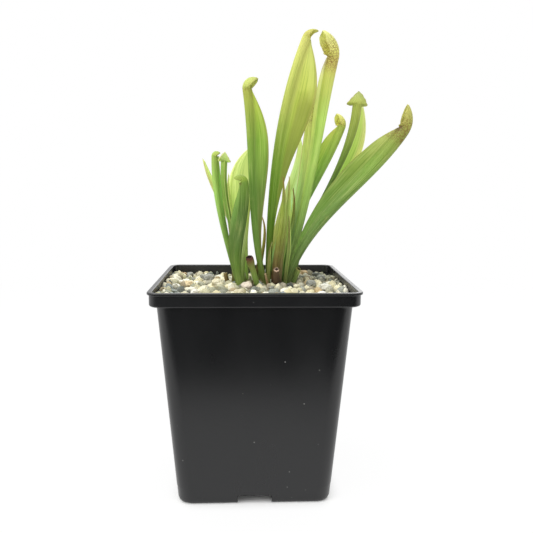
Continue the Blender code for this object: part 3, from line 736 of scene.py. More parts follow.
def leaf_frame(line, t, facing):
    step = 0.005
    along = (line(min(1.0, t + step)) - line(max(0.0, t - step))).normalized()
    angle = math.radians(facing[0] + (facing[1] - facing[0]) * t)
    front = Vector((math.cos(angle), math.sin(angle), 0))
    front = (front - along * front.dot(along)).normalized()
    return line(t), along, front, along.cross(front)


def wing_width(wing, t):
    widest, peak, rise = wing
    fall = rise * (1 - peak) / peak
    return widest * (t / peak) ** rise * ((1 - t) / (1 - peak)) ** fall


def tube_radius(radii, t):
    foot, middle, top = radii
    if t < 0.5:
        return foot + (middle - foot) * smooth(0, 0.5, t)
    return middle + (top - middle) * smooth(0.5, 1, t)


ARC = 18            # faces round the back of a tube
WING = 5            # faces across each side of a keel


def tube_ring(skin, place, radius, wing, sway, t):
    """Ring of a tube with a keel in front, as vertex numbers; the arc comes first."""
    point, _, front, side = place
    half = min(LAMINA / 2, radius * 0.6)
    reach = math.pi - math.asin(half / radius)
    ring = []
    for k in range(ARC + 1):
        share = 2 * k / ARC - 1
        angle = reach * share
        rib = 1 + 0.012 * math.cos(angle * 9)
        spot = point + front * radius * (1 - math.cos(angle) * rib) + side * radius * math.sin(angle) * rib
        ring.append(skin.vert(spot, along=t, around=share, run=t * skin.length))
    wing = max(wing, 0.2)
    far = []
    for flank in (1, -1):
        row = []
        for k in range(1, WING + 1):
            share = k / WING
            out = radius * (1 - math.cos(math.pi)) - radius * (1 - math.cos(reach))
            lean = sway * share * share
            thick = half * (1 - 0.55 * share) * (0.72 if k == WING else 1)
            spot = point + front * (2 * radius - out * (1 - share) + wing * share * math.cos(lean))
            spot = spot + side * (wing * share * math.sin(lean) + flank * thick)
            row.append(skin.vert(spot, along=t, around=float(flank), keel=share, run=t * skin.length))
        far.append(row)
    return ring + far[0] + far[1][::-1]


def hollow_ring(skin, place, radius, t):
    """Ring of a pitcher's inside, point for point with tube_ring."""
    point, _, front, side = place
    inner = radius - LAMINA
    half = min(LAMINA / 2, inner * 0.6)
    reach = math.pi - math.asin(half / inner)
    values = {"along": t, "inside": 1.0, "run": t * skin.length}
    ring = []
    for k in range(ARC + 1):
        share = 2 * k / ARC - 1
        angle = reach * share
        spot = point + front * (radius - inner * math.cos(angle)) + side * inner * math.sin(angle)
        ring.append(skin.vert(spot, around=share, **values))
    for k in range(2 * WING):
        share = 1 - 2 * (k + 0.5) / (2 * WING)
        angle = math.pi - (math.pi - reach) * share
        spot = point + front * (radius - inner * math.cos(angle)) + side * inner * math.sin(angle)
        ring.append(skin.vert(spot, around=1.0, **values))
    return ring


def hood_rows(skin, place, radius, hood, steps):
    """Outer and inner arcs of a hood that rises from the mouth's back and nods over it."""
    point, along, front, side = place
    length, half_width, nod, fold, flare, (widest, power, blunt), lobe = hood
    nod = math.radians(nod)
    open_radius = half_width / fold
    start = radius * (math.pi - math.asin(LAMINA / 2 / radius))
    outer, inner = [], []
    fine = 4
    spot = point.copy()
    for k in range(1, steps * fine + 1):
        share = k / (steps * fine)
        angle = nod * share
        heading = along * math.cos(angle) + front * math.sin(angle)
        spot += heading * length / (steps * fine)
        if k % fine:
            continue
        inward = front * math.cos(angle) - along * math.sin(angle)
        opened = smooth(0, widest, share)
        bend = radius + (open_radius - radius) * opened
        width = start + (half_width - start) * opened
        if share > widest:
            width *= max(0.0, 1 - ((share - widest) / (1 - widest)) ** power) ** blunt
        if k == steps * fine:
            values = {"along": 2.0, "rim": 1.0, "run": skin.length + length}
            tip = skin.vert(spot + inward * 0.1, **values)
            tip_inside = skin.vert(spot + inward * LAMINA * 0.8, inside=1.0, **values)
            return outer, inner, tip, tip_inside
        rows = ([], [])
        for j in range(ARC + 1):
            across = 2 * j / ARC - 1
            turn = across * width / bend
            edge = smooth(0.72, 1.0, abs(across))
            lift = flare * edge * smooth(0, 0.25, share)
            ruffle = 0.16 * math.sin(share * 23 + across * 3) * edge
            values = {"along": 1 + share, "around": across, "rim": edge, "run": skin.length + length * share}
            droop = heading * lobe * abs(across) ** 3 * (1 - share)
            for row, shrink, side_in in zip(rows, (0.0, LAMINA), (0.0, 1.0)):
                size = bend - shrink + lift + ruffle
                spot_here = spot + inward * (bend - size * math.cos(turn)) + side * size * math.sin(turn)
                row.append(skin.vert(spot_here - droop, inside=side_in, **values))
        outer.append(rows[0])
        inner.append(rows[1])


def seat(skin, ring):
    """Drop a leaf's lowest ring on to the rhizome."""
    for number in ring:
        point = (skin.points[number] - POT_AXIS) / MM
        point.z = rhizome_top(point.x, point.y) + SEAT_GAP
        skin.points[number] = point * MM + POT_AXIS


def middle_of(skin, ring, **values):
    total = sum((skin.points[number] for number in ring), Vector()) / len(ring)
    return skin.vert((total - POT_AXIS) / MM, **values)


def wave_of(leaf, t):
    """Sideways sway of a keel's edge, in radians, along a leaf."""
    ripple = 0.10
    phase = leaf["foot"][0] * 1.3
    lean = math.radians(leaf.get("curl", 0.0)) * smooth(0.2, 0.8, t)
    return lean + ripple * math.sin(t * 14 + phase) + ripple * 0.5 * math.sin(t * 31 + phase * 2)


def pitcher_mesh(name, leaf):
    """A hollow tube with a keel, an open mouth and a hood, as one closed skin."""
    skin = Skin()
    line = leaf_line(leaf["foot"], *leaf["line"])
    skin.length = (line(1.0) - line(0.5)).length + (line(0.5) - line(0.0)).length
    along, hollow_from = 56, 25
    outer, hollow = [], []
    for k in range(along + 1):
        t = k / along
        place = leaf_frame(line, t, leaf["facing"])
        radius = tube_radius(leaf["radii"], t)
        outer.append(tube_ring(skin, place, radius, wing_width(leaf["wing"], t), wave_of(leaf, t), t))
        if k >= hollow_from:
            hollow.append(hollow_ring(skin, place, radius, t))
    seat(skin, outer[0])
    skin.loft(outer)
    skin.loft(hollow)
    skin.fan(outer[0], middle_of(skin, outer[0]))
    skin.fan(hollow[0], middle_of(skin, hollow[0], inside=1.0))
    hood_outer, hood_inner, tip, tip_inside = hood_rows(skin, place, radius, leaf["hood"], 22)
    rims = []
    for mouth, rows, end in ((outer[-1], hood_outer, tip), (hollow[-1], hood_inner, tip_inside)):
        rows = [mouth[:ARC + 1]] + rows
        skin.loft(rows, ring_closed=False)
        for k in range(ARC):
            skin.faces.append((rows[-1][k], rows[-1][k + 1], end))
        left, right = [row[0] for row in rows[::-1]], [row[-1] for row in rows]
        rims.append(left + mouth[ARC + 1:][::-1] + right + [end])
    for k, first in enumerate(rims[0]):
        j = (k + 1) % len(rims[0])
        skin.faces.append((first, rims[0][j], rims[1][j], rims[1][k]))
    return skin.mesh(name)


def closed_leaf_mesh(name, leaf):
    """A leaf with no open mouth, which narrows to a point."""
    skin = Skin()
    line = leaf_line(leaf["foot"], *leaf["line"])
    skin.length = (line(1.0) - line(0.5)).length + (line(0.5) - line(0.0)).length
    along = 40
    rings = []
    for k in range(along):
        t = k / along
        taper = math.sqrt(1 - smooth(0.55, 1.0, t) * 0.9)
        place = leaf_frame(line, t, leaf["facing"])
        radius = tube_radius(leaf["radii"], t) * taper
        rings.append(tube_ring(skin, place, radius, wing_width(leaf["wing"], t), wave_of(leaf, t), t))
    seat(skin, rings[0])
    skin.loft(rings)
    skin.fan(rings[0], middle_of(skin, rings[0]))
    skin.fan(rings[-1], skin.vert(line(1.0), along=1.0))
    return skin.mesh(name)


def stub_mesh(name, foot, top, foot_radius, top_radius, pit, slant, flare):
    """A cut leaf's ragged stump; its tube shows as a pit in the top, which may slant forwards."""
    skin = Skin()
    low = Vector((foot[0], foot[1], rhizome_top(*foot) + SEAT_GAP))
    high = Vector(top)
    axis = (high - low).normalized()
    side = axis.cross(Vector((0, 1, 0))).normalized()
    front = side.cross(axis)
    around, steps = 20, 12

    def ring(middle, radius, t, ragged=0.0, inside=0.0):
        made = []
        for k in range(around):
            a = k * math.tau / around
            wobble = 1 + 0.10 * noise.noise(Vector((math.cos(a), math.sin(a), t * 3 + foot[0])) * 1.6)
            lift = ragged * noise.noise(Vector((math.cos(a) * 2, math.sin(a) * 2, foot[0])))
            spot = middle + (side * math.cos(a) + front * math.sin(a)) * radius * wobble + axis * lift
            spot.z += slant * t ** 6 * (spot.y - middle.y)
            made.append(skin.vert(spot, along=t, around=math.cos(a), inside=inside))
        return made

    rings = []
    for k in range(steps + 1):
        t = k / steps
        swell = 1 + 0.10 * math.sin(t * math.pi) + flare * smooth(0.7, 0.92, t)
        radius = (foot_radius + (top_radius - foot_radius) * t) * swell
        rings.append(ring(low.lerp(high, t * 0.97), radius, t, 0.5 * t))
    seat(skin, rings[0])
    if pit:
        wide = top_radius * (1 + flare)
        rings.append(ring(high, wide * 0.86, 1.0, 0.5))
        rings.append(ring(high - axis * 0.3, wide * 0.72, 1.0, 0.3, 1.0))
        rings.append(ring(high - axis * pit, wide * 0.6, 1.0, 0.0, 1.0))
    skin.loft(rings)
    skin.fan(rings[0], middle_of(skin, rings[0]))
    skin.fan(rings[-1], middle_of(skin, rings[-1], along=1.0, inside=1.0))
    return skin.mesh(name)


# ---------------------------------------------------------------- leaves: finish

STATIONS = (0.0, 0.125, 0.25, 0.375, 0.49, 0.6, 0.97)   # half of along: foot to mouth, then the hood


def leaf_look(
        name, tube, wing, veins="7A2E1E", net=0.0, net_from=0.9, net_to=1.7,
        edge="C98E62", edge_share=0.5, base="4E4428", base_share=0.5,
        lip="8E3B2C", lip_share=0.0, painted_shade=None, painted_shade_share=0.6, sheer=0.3):
    """Living leaf: long fine veins, a colour that shifts up the leaf, a red net at the neck."""
    look = Finish(name + "_finish", Specular_IOR_Level=0.28)
    place = look.place()
    along, around = look.read("along"), look.read("around")
    keel, inside, rim = look.read("keel"), look.read("inside"), look.read("rim")
    mottle = look.noise(place, 130.0, 4.0, 0.55)
    fine = look.noise(place, 900.0, 2.0)
    drift = mottle - 0.5
    height = along * 0.5 + drift * 0.05
    tube_colour = look.ramp(height, list(zip(STATIONS, (srgb(code) for code in tube.split()))))
    wing_colour = look.ramp(height, list(zip(STATIONS, (srgb(code) for code in wing.split()))))
    body = look.blend(look.step(keel, 0.02, 0.4), tube_colour, wing_colour)
    flow = look.point(around * 5.5 + keel * 5.0, along * 1.3, keel * 2.0)
    strands = look.noise(flow, 3.2, 3.0, 0.6)
    deeper = look.blend(1.0, body, srgb("9FC060"), "MULTIPLY")
    body = look.blend(look.step(strands, 0.5, 0.68) * 0.42, body, deeper)
    paler = look.blend(0.5, body, srgb("EEF2A0"))
    body = look.blend(look.step(strands, 0.34, 0.5, 1.0, 0.0) * 0.34, body, paler)
    warmer = look.blend(0.5, body, srgb("E6E08A"))
    body = look.blend(look.step(mottle, 0.55, 0.75) * 0.22, body, warmer)
    body = look.blend(look.step(keel, 0.82, 1.0) * edge_share, body, srgb(edge))
    web = look.point(around * 5.0 + drift * 0.6, look.read("run") * 0.55 + drift * 0.4, keel * 3.0)
    lines = look.step(look.cells(web, 1.1, "DISTANCE_TO_EDGE"), 0.0, 0.12, 1.0, 0.0)
    zone = look.step(along, net_from - 0.03, net_from + 0.03)
    zone = zone * look.step(along, net_to - 0.25, net_to + 0.2, 1.0, 0.0)
    body = look.blend(lines * zone * net, body, srgb(veins))
    neck = zone * look.step(along, 1.0, 1.25, 1.0, 0.0)
    body = look.blend(neck * net * 0.22 * (1.0 - inside), body, srgb(veins))
    body = look.blend(rim * look.step(along, 1.0, 1.15) * edge_share * 0.6, body, srgb(edge))
    at_lip = look.step(along, 0.965, 0.995) * look.step(along, 1.06, 1.16, 1.0, 0.0)
    at_lip = at_lip * look.step(around.maths("ABSOLUTE"), 0.55, 0.85)
    body = look.blend(at_lip * lip_share, body, srgb(lip))
    # Darker at the foot: the leaf's own brown base, together with painted shade where the leaves crowd at
    # the crown.
    foot_share = look.step(along + drift * 0.08, 0.02, 0.14, 1.0, 0.0)
    body = look.blend(foot_share * base_share, body, srgb(base))
    # Painted shade: the inside of the tube is darkened by half towards olive, fading out up the hood.
    body = look.blend(inside * look.step(along, 1.0, 1.1, 0.5, 0.0), body, srgb("8E8A3A"))
    # Painted shade: a darker olive patch on the middle of the keel, where neighbouring leaves shade this
    # leaf.
    if painted_shade:
        shade_patch = look.step(along, 0.3, 0.45) * look.step(along + drift * 0.08, 0.73, 0.84, 1.0, 0.0)
        shade_patch = shade_patch * look.step(keel + around * 0.1, 0.12, 0.3) * look.step(keel, 0.8, 1.0, 1.0, 0.5)
        body = look.blend(shade_patch * painted_shade_share, body, srgb(painted_shade))
    relief = look.bump(strands, 0.0004, 0.5, look.bump(fine, 0.00008, 0.5))
    look.glow(body, relief, sheer)
    return look.use(
        Base_Color=body,
        Roughness=look.step(strands, 0.25, 0.75, 0.55, 0.42) + lines * zone * 0.08,
        Normal=relief)


BLUNT = (0.35, 3.0, 0.3)      # where a hood is widest, and how it rounds off to its tip
ROUND = (0.4, 2.0, 0.5)
BEAK = (0.35, 1.5, 0.75)
HAT = (0.12, 1.05, 1.0)

PITCHERS = {
    "pitcher_tall_left": {
        "foot": (5.5, 3), "line": ((-1, 1, 134.5), (-3.5, -2, 176), (-6, -3, 205)), "facing": (-5, -15),
        "radii": (1.5, 1.6, 2.3), "wing": (7.4, 0.7, 3.0), "hood": (12.3, 6.2, 128, 1.9, 0.3, BLUNT, 0.0),
        "curl": 10,
        "slot": "leaf_green", "look": {
            "tube": "96AA52 80A84A 78A242 88AC42 B8C254 D8E480 CAD074",
            "wing": "868652 88924A 7C9C42 94BA44 C4D456 EAE482 ECDA86",
            "net": 0.25, "net_from": 0.97, "net_to": 1.5, "edge": "D0A27A", "edge_share": 0.25}},
    "pitcher_tallest": {
        "foot": (6.6, 8), "line": ((7.2, 6, 135), (11.5, 5, 182.5), (25, 5, 233.5)), "facing": (10, -8),
        "radii": (1.5, 2.1, 2.3), "wing": (12.3, 0.77, 4.0), "hood": (10.2, 5.2, 102, 1.5, 0.0, BEAK, 0.0),
        "curl": 8,
        "slot": "leaf_lime", "look": {
            "tube": "748234 6E982A 8AB23A C4D064 E2E47E D2CE6E D2D270",
            "wing": "889040 96B440 92B03A CAD65C DEE484 D4CA76 D6B27C",
            "net": 0.12, "net_from": 0.95, "net_to": 1.3, "edge": "D2AE78", "edge_share": 0.25,
            "painted_shade": "96A046", "painted_shade_share": 0.65,
            "base": "5C4430", "base_share": 0.75}},
    "pitcher_helmet": {
        "foot": (17, 11), "line": ((28, 12, 136), (38.5, 14, 187), (45.5, 14, 224)), "facing": (185, 192),
        "radii": (1.6, 1.9, 3.2), "wing": (2.8, 0.78, 2.6), "hood": (19.2, 9.6, 88, 1.9, 0.4, BLUNT, 0.0),
        "slot": "leaf_green", "look": {
            "tube": "8EA25E A0C26A B4D868 D4F67C E4DC74 F2F086 EAEC96",
            "wing": "6A8636 94BC50 C2E06E F0FC8E FEFEC6 FEFEB6 FEFED8",
            "net": 0.7, "net_from": 0.95, "net_to": 1.75, "edge": "E8D890", "edge_share": 0.3}},
    "pitcher_leaning_right": {
        "foot": (19, 4), "line": ((37, 5, 134), (63, 6, 161), (83, 7, 184.5)), "facing": (170, 178),
        "radii": (1.5, 2.5, 3.2), "wing": (8.4, 0.68, 2.0), "hood": (17.2, 8.0, 70, 2.0, 0.1, ROUND, 0.0),
        "curl": -8,
        "slot": "leaf_dark", "look": {
            "tube": "64803E 78984E 769846 8CAE4A 9CAA4E B4B658 D6D27A",
            "wing": "7A9652 80AA4A 74983C 90A846 C2CA72 D4BE84 E4C290",
            "net": 0.6, "net_from": 0.93, "net_to": 1.6, "edge": "B8A060", "edge_share": 0.2,
            "lip": "5A2A34", "lip_share": 0.6}},
    "pitcher_rear_right": {
        "foot": (17, 16.5), "line": ((30, 21, 144.5), (43, 22, 169.5), (51.5, 23, 188.5)),
        "facing": (180, 190),
        "radii": (1.3, 1.6, 2.2), "wing": (5.6, 0.78, 3.5), "hood": (11.4, 6.7, 104, 1.6, 0.3, BLUNT, 0.0),
        "slot": "leaf_lime", "look": {
            "tube": "6C9652 82B258 96C860 ACD662 C2D662 FEFE92 FCFC9A",
            "wing": "608240 7EA646 98C84E B6DA58 D8E06E FEFA98 FEFCB6",
            "net": 0.55, "net_from": 1.1, "net_to": 1.8, "edge": "C8B060", "edge_share": 0.2}},
    "pitcher_slim_right": {
        "foot": (23, 10), "line": ((34, 14, 140), (49, 16, 170), (57.5, 16, 201)), "facing": (100, 95),
        "radii": (1.2, 1.2, 2.6), "wing": (1.0, 0.7, 3.0), "hood": (8.0, 7.0, 35, 1.0, 0.2, HAT, 0.7),
        "slot": "leaf_dark", "look": {
            "tube": "4A6A28 54742E 5C8032 7C983A AEBC54 C8D470 BEC680",
            "wing": "4A6A28 54742E 5C8032 82A242 BCCA5C C8D470 BEC680",
            "net": 0.2, "net_from": 1.0, "net_to": 1.4, "edge": "C8A878", "edge_share": 0.5}},
    "pitcher_hooked_left": {
        "foot": (-9, 6.5), "line": ((-18.5, 6, 137.5), (-22, 4, 160), (-22.3, 3, 172)), "facing": (0, -5),
        "radii": (1.2, 1.3, 1.9), "wing": (1.4, 0.7, 3.0), "hood": (6.6, 4.0, 140, 1.7, 0.2, BLUNT, 0.0),
        "slot": "leaf_green", "look": {
            "tube": "769C54 82A852 9CC65E B2E06E A8C65C BCD262 BACC6A",
            "wing": "486E2A 4E762A 70A03E A0D864 B4E46A CCF86E DCFA80"}},
    "pitcher_slim_left": {
        "foot": (-9.5, 2.8), "line": ((-13.6, 1.5, 141), (-16, 0.5, 159.5), (-15.8, 0.5, 169)),
        "facing": (-70, -80), "radii": (1.2, 1.2, 1.7), "wing": (1.0, 0.7, 3.0),
        "hood": (5.4, 4.2, 30, 1.1, 0.1, HAT, 0.6), "slot": "leaf_green", "look": {
            "tube": "6A8838 709236 7CA23E 80A63E 9AC050 CEE684 E8F6AC",
            "wing": "709C44 94C65C A8D668 B0DC72 B2E066 CAEA7C E6EA98"}},
    "pitcher_short_front": {
        "foot": (-4, -1.8), "line": ((-5.5, -5.5, 128.5), (-3, -7, 145), (-3, -7.5, 158.5)),
        "facing": (198, 172),
        "radii": (1.6, 2.1, 2.3), "wing": (4.0, 0.62, 2.2), "hood": (10.2, 4.4, 138, 1.9, 0.1, BLUNT, 0.0),
        "slot": "leaf_dark", "look": {
            "tube": "96AA60 769840 66863E 5A7C30 749838 90AE3C A6BA56",
            "wing": "8AA250 7A9A46 6E9244 7CA64A A2C860 A6C24C BACA5A",
            "lip": "7E4A34", "lip_share": 0.4, "edge": "8A6A4A", "edge_share": 0.25}},
    "pitcher_middle_rear": {
        "foot": (13.5, 13.5), "line": ((28.5, 16, 145), (33.5, 17, 177.5), (36, 17, 206)),
        "facing": (182, 188),
        "radii": (1.3, 1.9, 2.5), "wing": (2.6, 0.6, 2.0), "hood": (9, 4.2, 105, 1.6, 0.2, ROUND, 0.0),
        "slot": "leaf_green", "look": {
            "tube": "567A40 789C54 ACCC70 F0FE92 FEFE9A FEFE8E FEFEA6",
            "wing": "6A9454 9EC876 CEF294 EEFA9C F0F098 F0E68E FEECA4",
            "net": 0.5, "net_from": 0.85, "net_to": 1.5}},
}

PALE = "648440 98BE5C C0E074 D6F080 DEF08A DEF08A DEF08A"
CLOSED_LEAVES = {
    "leaf_pale_right": {
        "foot": (21, 14.8), "line": ((47.5, 24, 150), (61, 26, 173), (62, 27, 203)), "facing": (175, 185),
        "radii": (1.2, 1.3, 1.2), "wing": (6.2, 0.74, 2.6), "slot": "leaf_pale",
        "look": {"tube": "92B870 C2EE8A F4FEA0 FCFEAA EAF2A8 E4C8A8 DEA4A8", "wing": PALE,
            "edge": "D8C88A"}},
    "leaf_strap_left": {
        "foot": (-10.5, 13), "line": ((-20, 17, 149), (-25.5, 18, 161.5), (-28, 18, 171.5)),
        "facing": (-20, -20),
        "radii": (1.1, 1.0, 0.9), "wing": (2.4, 0.7, 2.0), "slot": "leaf_pale",
        "look": {"tube": "647E3A 98B25E CAD288 D4D884 E4E294 EADEB0 EADEB0", "wing": PALE,
            "edge_share": 0.2}},
    "leaf_pale_left": {
        "foot": (-4.5, 13), "line": ((-14, 20, 143), (-13, 22, 162), (-3, 22, 177)), "facing": (-5, -15),
        "radii": (1.3, 1.6, 1.2), "wing": (11.5, 0.72, 2.0), "slot": "leaf_pale",
        "look": {"tube": "9AC466 DEFE88 DAF48A F2FEA6 F6FEAE F0FEA6 F0FEA6",
                 "wing": "7A905A D2E88C DCEC8A D2E288 D2E484 D4E682 D4E682", "edge_share": 0.1}},
    "leaf_pale_middle": {
        "foot": (9.5, 15), "line": ((22.5, 22, 141), (28.5, 24, 165), (26, 24, 186)), "facing": (178, 184),
        "radii": (1.3, 1.6, 1.2), "wing": (5.2, 0.6, 1.6), "slot": "leaf_pale",
        "look": {"tube": "7EA066 AED682 D0FCB2 F4FEC8 F2FEBC EEFEB8 EEFEB8",
                 "wing": "8C8C4A C6C670 DCE490 EAFEB8 FAFEC0 FAFEC2 FAFEC2", "edge_share": 0.1}},
    "leaf_narrow_left": {
        "foot": (-7, 9), "line": ((-13.5, 8.5, 137), (-14.5, 8, 151.5), (-13.5, 8, 163.5)),
        "facing": (-10, -10),
        "radii": (1.1, 1.0, 0.8), "wing": (1.3, 0.6, 2.0), "slot": "leaf_pale",
        "look": {"tube": "789C4E B0D874 E4FC9A FEFEA8 FEFEAE FEFEAE FEFEAE", "wing": PALE}},
    "leaf_young_left": {
        "foot": (-12.3, 9.5), "line": ((-12.6, 10.5, 124), (-13.8, 10.5, 135), (-14.8, 10.5, 145)),
        "facing": (0, 0),
        "radii": (1.1, 0.9, 0.7), "wing": (0.6, 0.6, 2.0), "slot": "leaf_red",
        "look": {"tube": "6A6A38 8A8840 A8A04E BCA45C C0906A C0906A C0906A", "wing": PALE}},
    "leaf_thin_front": {
        "foot": (-6.8, 1.8), "line": ((-6.9, 1.8, 116), (-5.8, 1.2, 130), (-4.6, 0.6, 146)),
        "facing": (0, 0),
        "radii": (1.1, 1.0, 0.6), "wing": (0.6, 0.6, 2.0), "slot": "leaf_pale",
        "look": {"tube": "829A52 A2BE66 C2D886 DAE69A ECF2A8 ECF2A8 ECF2A8", "wing": PALE}},
    "young_pitcher": {
        "foot": (9.5, 0.5), "line": ((11.5, -0.5, 125.5), (14, -1.5, 143), (15, -1.5, 162)),
        "facing": (0, 0),
        "radii": (1.5, 1.3, 0.8), "wing": (1.6, 0.55, 2.0), "slot": "leaf_red",
        "look": {"tube": "724C3C 887644 9EAA48 9EB248 927A36 907A32 907A32",
                 "wing": "6C4C3E 868246 9EAE4E A6BE60 A48458 A48458 A48458", "base": "4E2E30",
                 "base_share": 0.9}},
    "young_pitcher_twin": {
        "foot": (12.5, 3), "line": ((14.5, 2, 125.5), (17, 1, 143), (18.5, 1, 162)), "facing": (0, 0),
        "radii": (1.4, 1.2, 0.7), "wing": (1.2, 0.55, 2.0), "slot": "leaf_red",
        "look": {"tube": "765E54 A0945E BACC68 ACC660 AA8254 AA8254 AA8254", "wing": PALE, "edge": "7A5A40",
                 "base": "4E2E30", "base_share": 0.9}},
    "young_pitcher_right": {
        "foot": (16, 6), "line": ((20, 6.5, 122), (22.5, 8, 137.5), (21.5, 8, 156)), "facing": (180, 180),
        "radii": (1.3, 1.1, 0.8), "wing": (0.9, 0.6, 2.0), "slot": "leaf_red",
        "look": {"tube": "486E2E 568436 6E9A42 7A8832 805624 805624 805624", "wing": PALE,
            "edge": "7A5A40"}},
    "young_pitcher_short": {
        "foot": (15, -0.5), "line": ((17, -1, 116.5), (18, -1, 127), (18.5, -1, 141.5)), "facing": (0, 0),
        "radii": (1.0, 0.8, 0.5), "wing": (0.5, 0.6, 2.0), "slot": "leaf_lime",
        "look": {"tube": "50542C 768442 869C50 828040 74582E 74582E 74582E", "wing": PALE,
            "edge": "A8905A"}},
    "sprout_front": {
        "foot": (6.5, -1.5), "line": ((7, -2.5, 110), (7.5, -3, 120), (9.5, -3, 127.5)), "facing": (0, 0),
        "radii": (1.0, 0.7, 0.5), "wing": (0.4, 0.6, 2.0), "slot": "leaf_lime",
        "look": {"tube": "645C38 808448 848C44 868248 826840 826840 826840", "wing": PALE}},
    "sprout_curved": {
        "foot": (5, 12), "line": ((7, 12.5, 127), (6.5, 12.5, 135.5), (3.5, 12.5, 142.5)),
        "facing": (180, 180),
        "radii": (0.9, 0.7, 0.5), "wing": (0.4, 0.6, 2.0), "slot": "leaf_red",
        "look": {"tube": "748242 96A250 B0A64E BE9650 C48250 C48250 C48250", "wing": PALE}},
    "sprout_red": {
        "foot": (0.5, 9.5), "line": ((2, 9.5, 115), (3, 9.5, 125), (2.5, 9.5, 133)), "facing": (0, 0),
        "radii": (0.9, 0.7, 0.5), "wing": (0.4, 0.6, 2.0), "slot": "leaf_red",
        "look": {"tube": "5E6A34 7A7A3A 8A6A3A 945440 8E4A3E 8E4A3E 8E4A3E", "wing": PALE}},
}

GREEN_STUB = "5A6A34 66803C 78904A 8AA054 98A860 A8A070 A8A070"
STRAW_STUB = "4A3826 6A5236 8A6C48 A08660 B8A27C C8B898 C8B898"
STUBS = {
    "stub_capped": ((3.2, -2.2), (-2.5, -4.8, 119.5), 1.3, 1.5, 1.5, 0.2, 0.35, "leaf_green",
                    "5A6A34 708A40 84A04C 86924A 6E4A34 58342A 58342A", "58342A"),
    "stub_ringed": ((11.5, -2.8), (12, -4.8, 113.0), 1.4, 1.5, 2.2, 0.3, 0.0, "leaf_straw",
                    "332618 3E3020 4A3A28 584630 66543C 76624A 76624A", "C8AC94"),
    "stub_right": ((20.5, 7.5), (25, 8.0, 111.5), 1.1, 1.5, 1.2, 0.5, 0.0, "leaf_green", GREEN_STUB,
        "A8A860"),
    "stub_left": ((-5, 6), (-6.0, 5.6, 108.5), 1.3, 1.8, 1.0, 0.8, 0.0, "leaf_dark", GREEN_STUB, "98A070"),
    "sheath_left": ((-13, 7.5), (-15.5, 7, 109.5), 1.2, 1.1, 0.0, 0.0, 0.0, "leaf_straw",
                    "3E2A1E 544028 6A5634 7E6C40 8A7A4C 968858 968858", "968858"),
    "dry_strand_front": ((8.7, -3.3), (6, -4.8, 111), 0.6, 0.5, 0.0, 0.0, 0.0, "leaf_straw", STRAW_STUB,
        "B8A27C"),
    "dry_strand_rear": ((9.8, 10.0), (8.6, 10.5, 121), 0.9, 0.6, 0.0, 0.0, 0.0, "leaf_straw",
                        "3A2A20 4A3626 5A4430 6A5036 6A5036 6A5036 6A5036", "6A5036"),
}


def stub_look(name, tube, cut):
    """Cut leaf: fibres up the side, a paler dried cut, and a hollow painted dark as its shade."""
    look = Finish(name + "_finish", Specular_IOR_Level=0.25)
    place = look.place()
    along, around, inside = look.read("along"), look.read("around"), look.read("inside")
    mottle = look.noise(place, 300.0, 4.0, 0.6)
    strands = look.noise(look.point(around * 6.0, along * 1.5, 0.0), 4.0, 3.0, 0.6)
    height = along * 0.49 + (mottle - 0.5) * 0.06
    body = look.ramp(height, list(zip(STATIONS, (srgb(code) for code in tube.split()))))
    deeper = look.blend(1.0, body, srgb("A89878"), "MULTIPLY")
    body = look.blend(look.step(strands, 0.5, 0.7) * 0.4, body, deeper)
    body = look.blend(look.step(along, 0.97, 0.988), body, srgb(cut))
    # Painted shade: the hollow in the top is darkened almost to black.
    body = look.blend(inside * 0.9, body, srgb("1E140C"))
    return look.use(
        Base_Color=body,
        Roughness=look.step(strands, 0.3, 0.7, 0.6, 0.8),
        Normal=look.bump(strands, 0.0005, 0.7))


def make_leaves():
    for name, leaf in PITCHERS.items():
        finish = leaf_look(name, **leaf["look"])
        add_piece(name + "_leaf", pitcher_mesh(name, leaf), finish, [name])
    for name, leaf in CLOSED_LEAVES.items():
        finish = leaf_look(name, **leaf["look"])
        add_piece(name + "_leaf", closed_leaf_mesh(name, leaf), finish, [name])
    for name, (*shape, slot, tube, cut) in STUBS.items():
        add_piece(name + "_stump", stub_mesh(name, *shape), stub_look(name, tube, cut), [name])


# ---------------------------------------------------------------- stage, light and camera

def seen_directly(tree):
    """1 on rays that come from the camera, also in a reflection or through a clear surface."""
    rays = tree.nodes.new("ShaderNodeLightPath")
    seen = Wire(tree, rays.outputs["Is Camera Ray"])
    for kind in ("Is Glossy Ray", "Is Transmission Ray"):
        seen = seen.maths("MAXIMUM", Wire(tree, rays.outputs[kind]))
    return seen


def level_panel(name, low, high, height):
    """A level rectangle between two corners (x, y), for the stage."""
    mesh = bpy.data.meshes.new(name)
    corners = [(low[0], low[1]), (high[0], low[1]), (high[0], high[1]), (low[0], high[1])]
    mesh.from_pydata([(x, y, height) for x, y in corners], [], [(0, 1, 2, 3)])
    return linked(name, mesh)


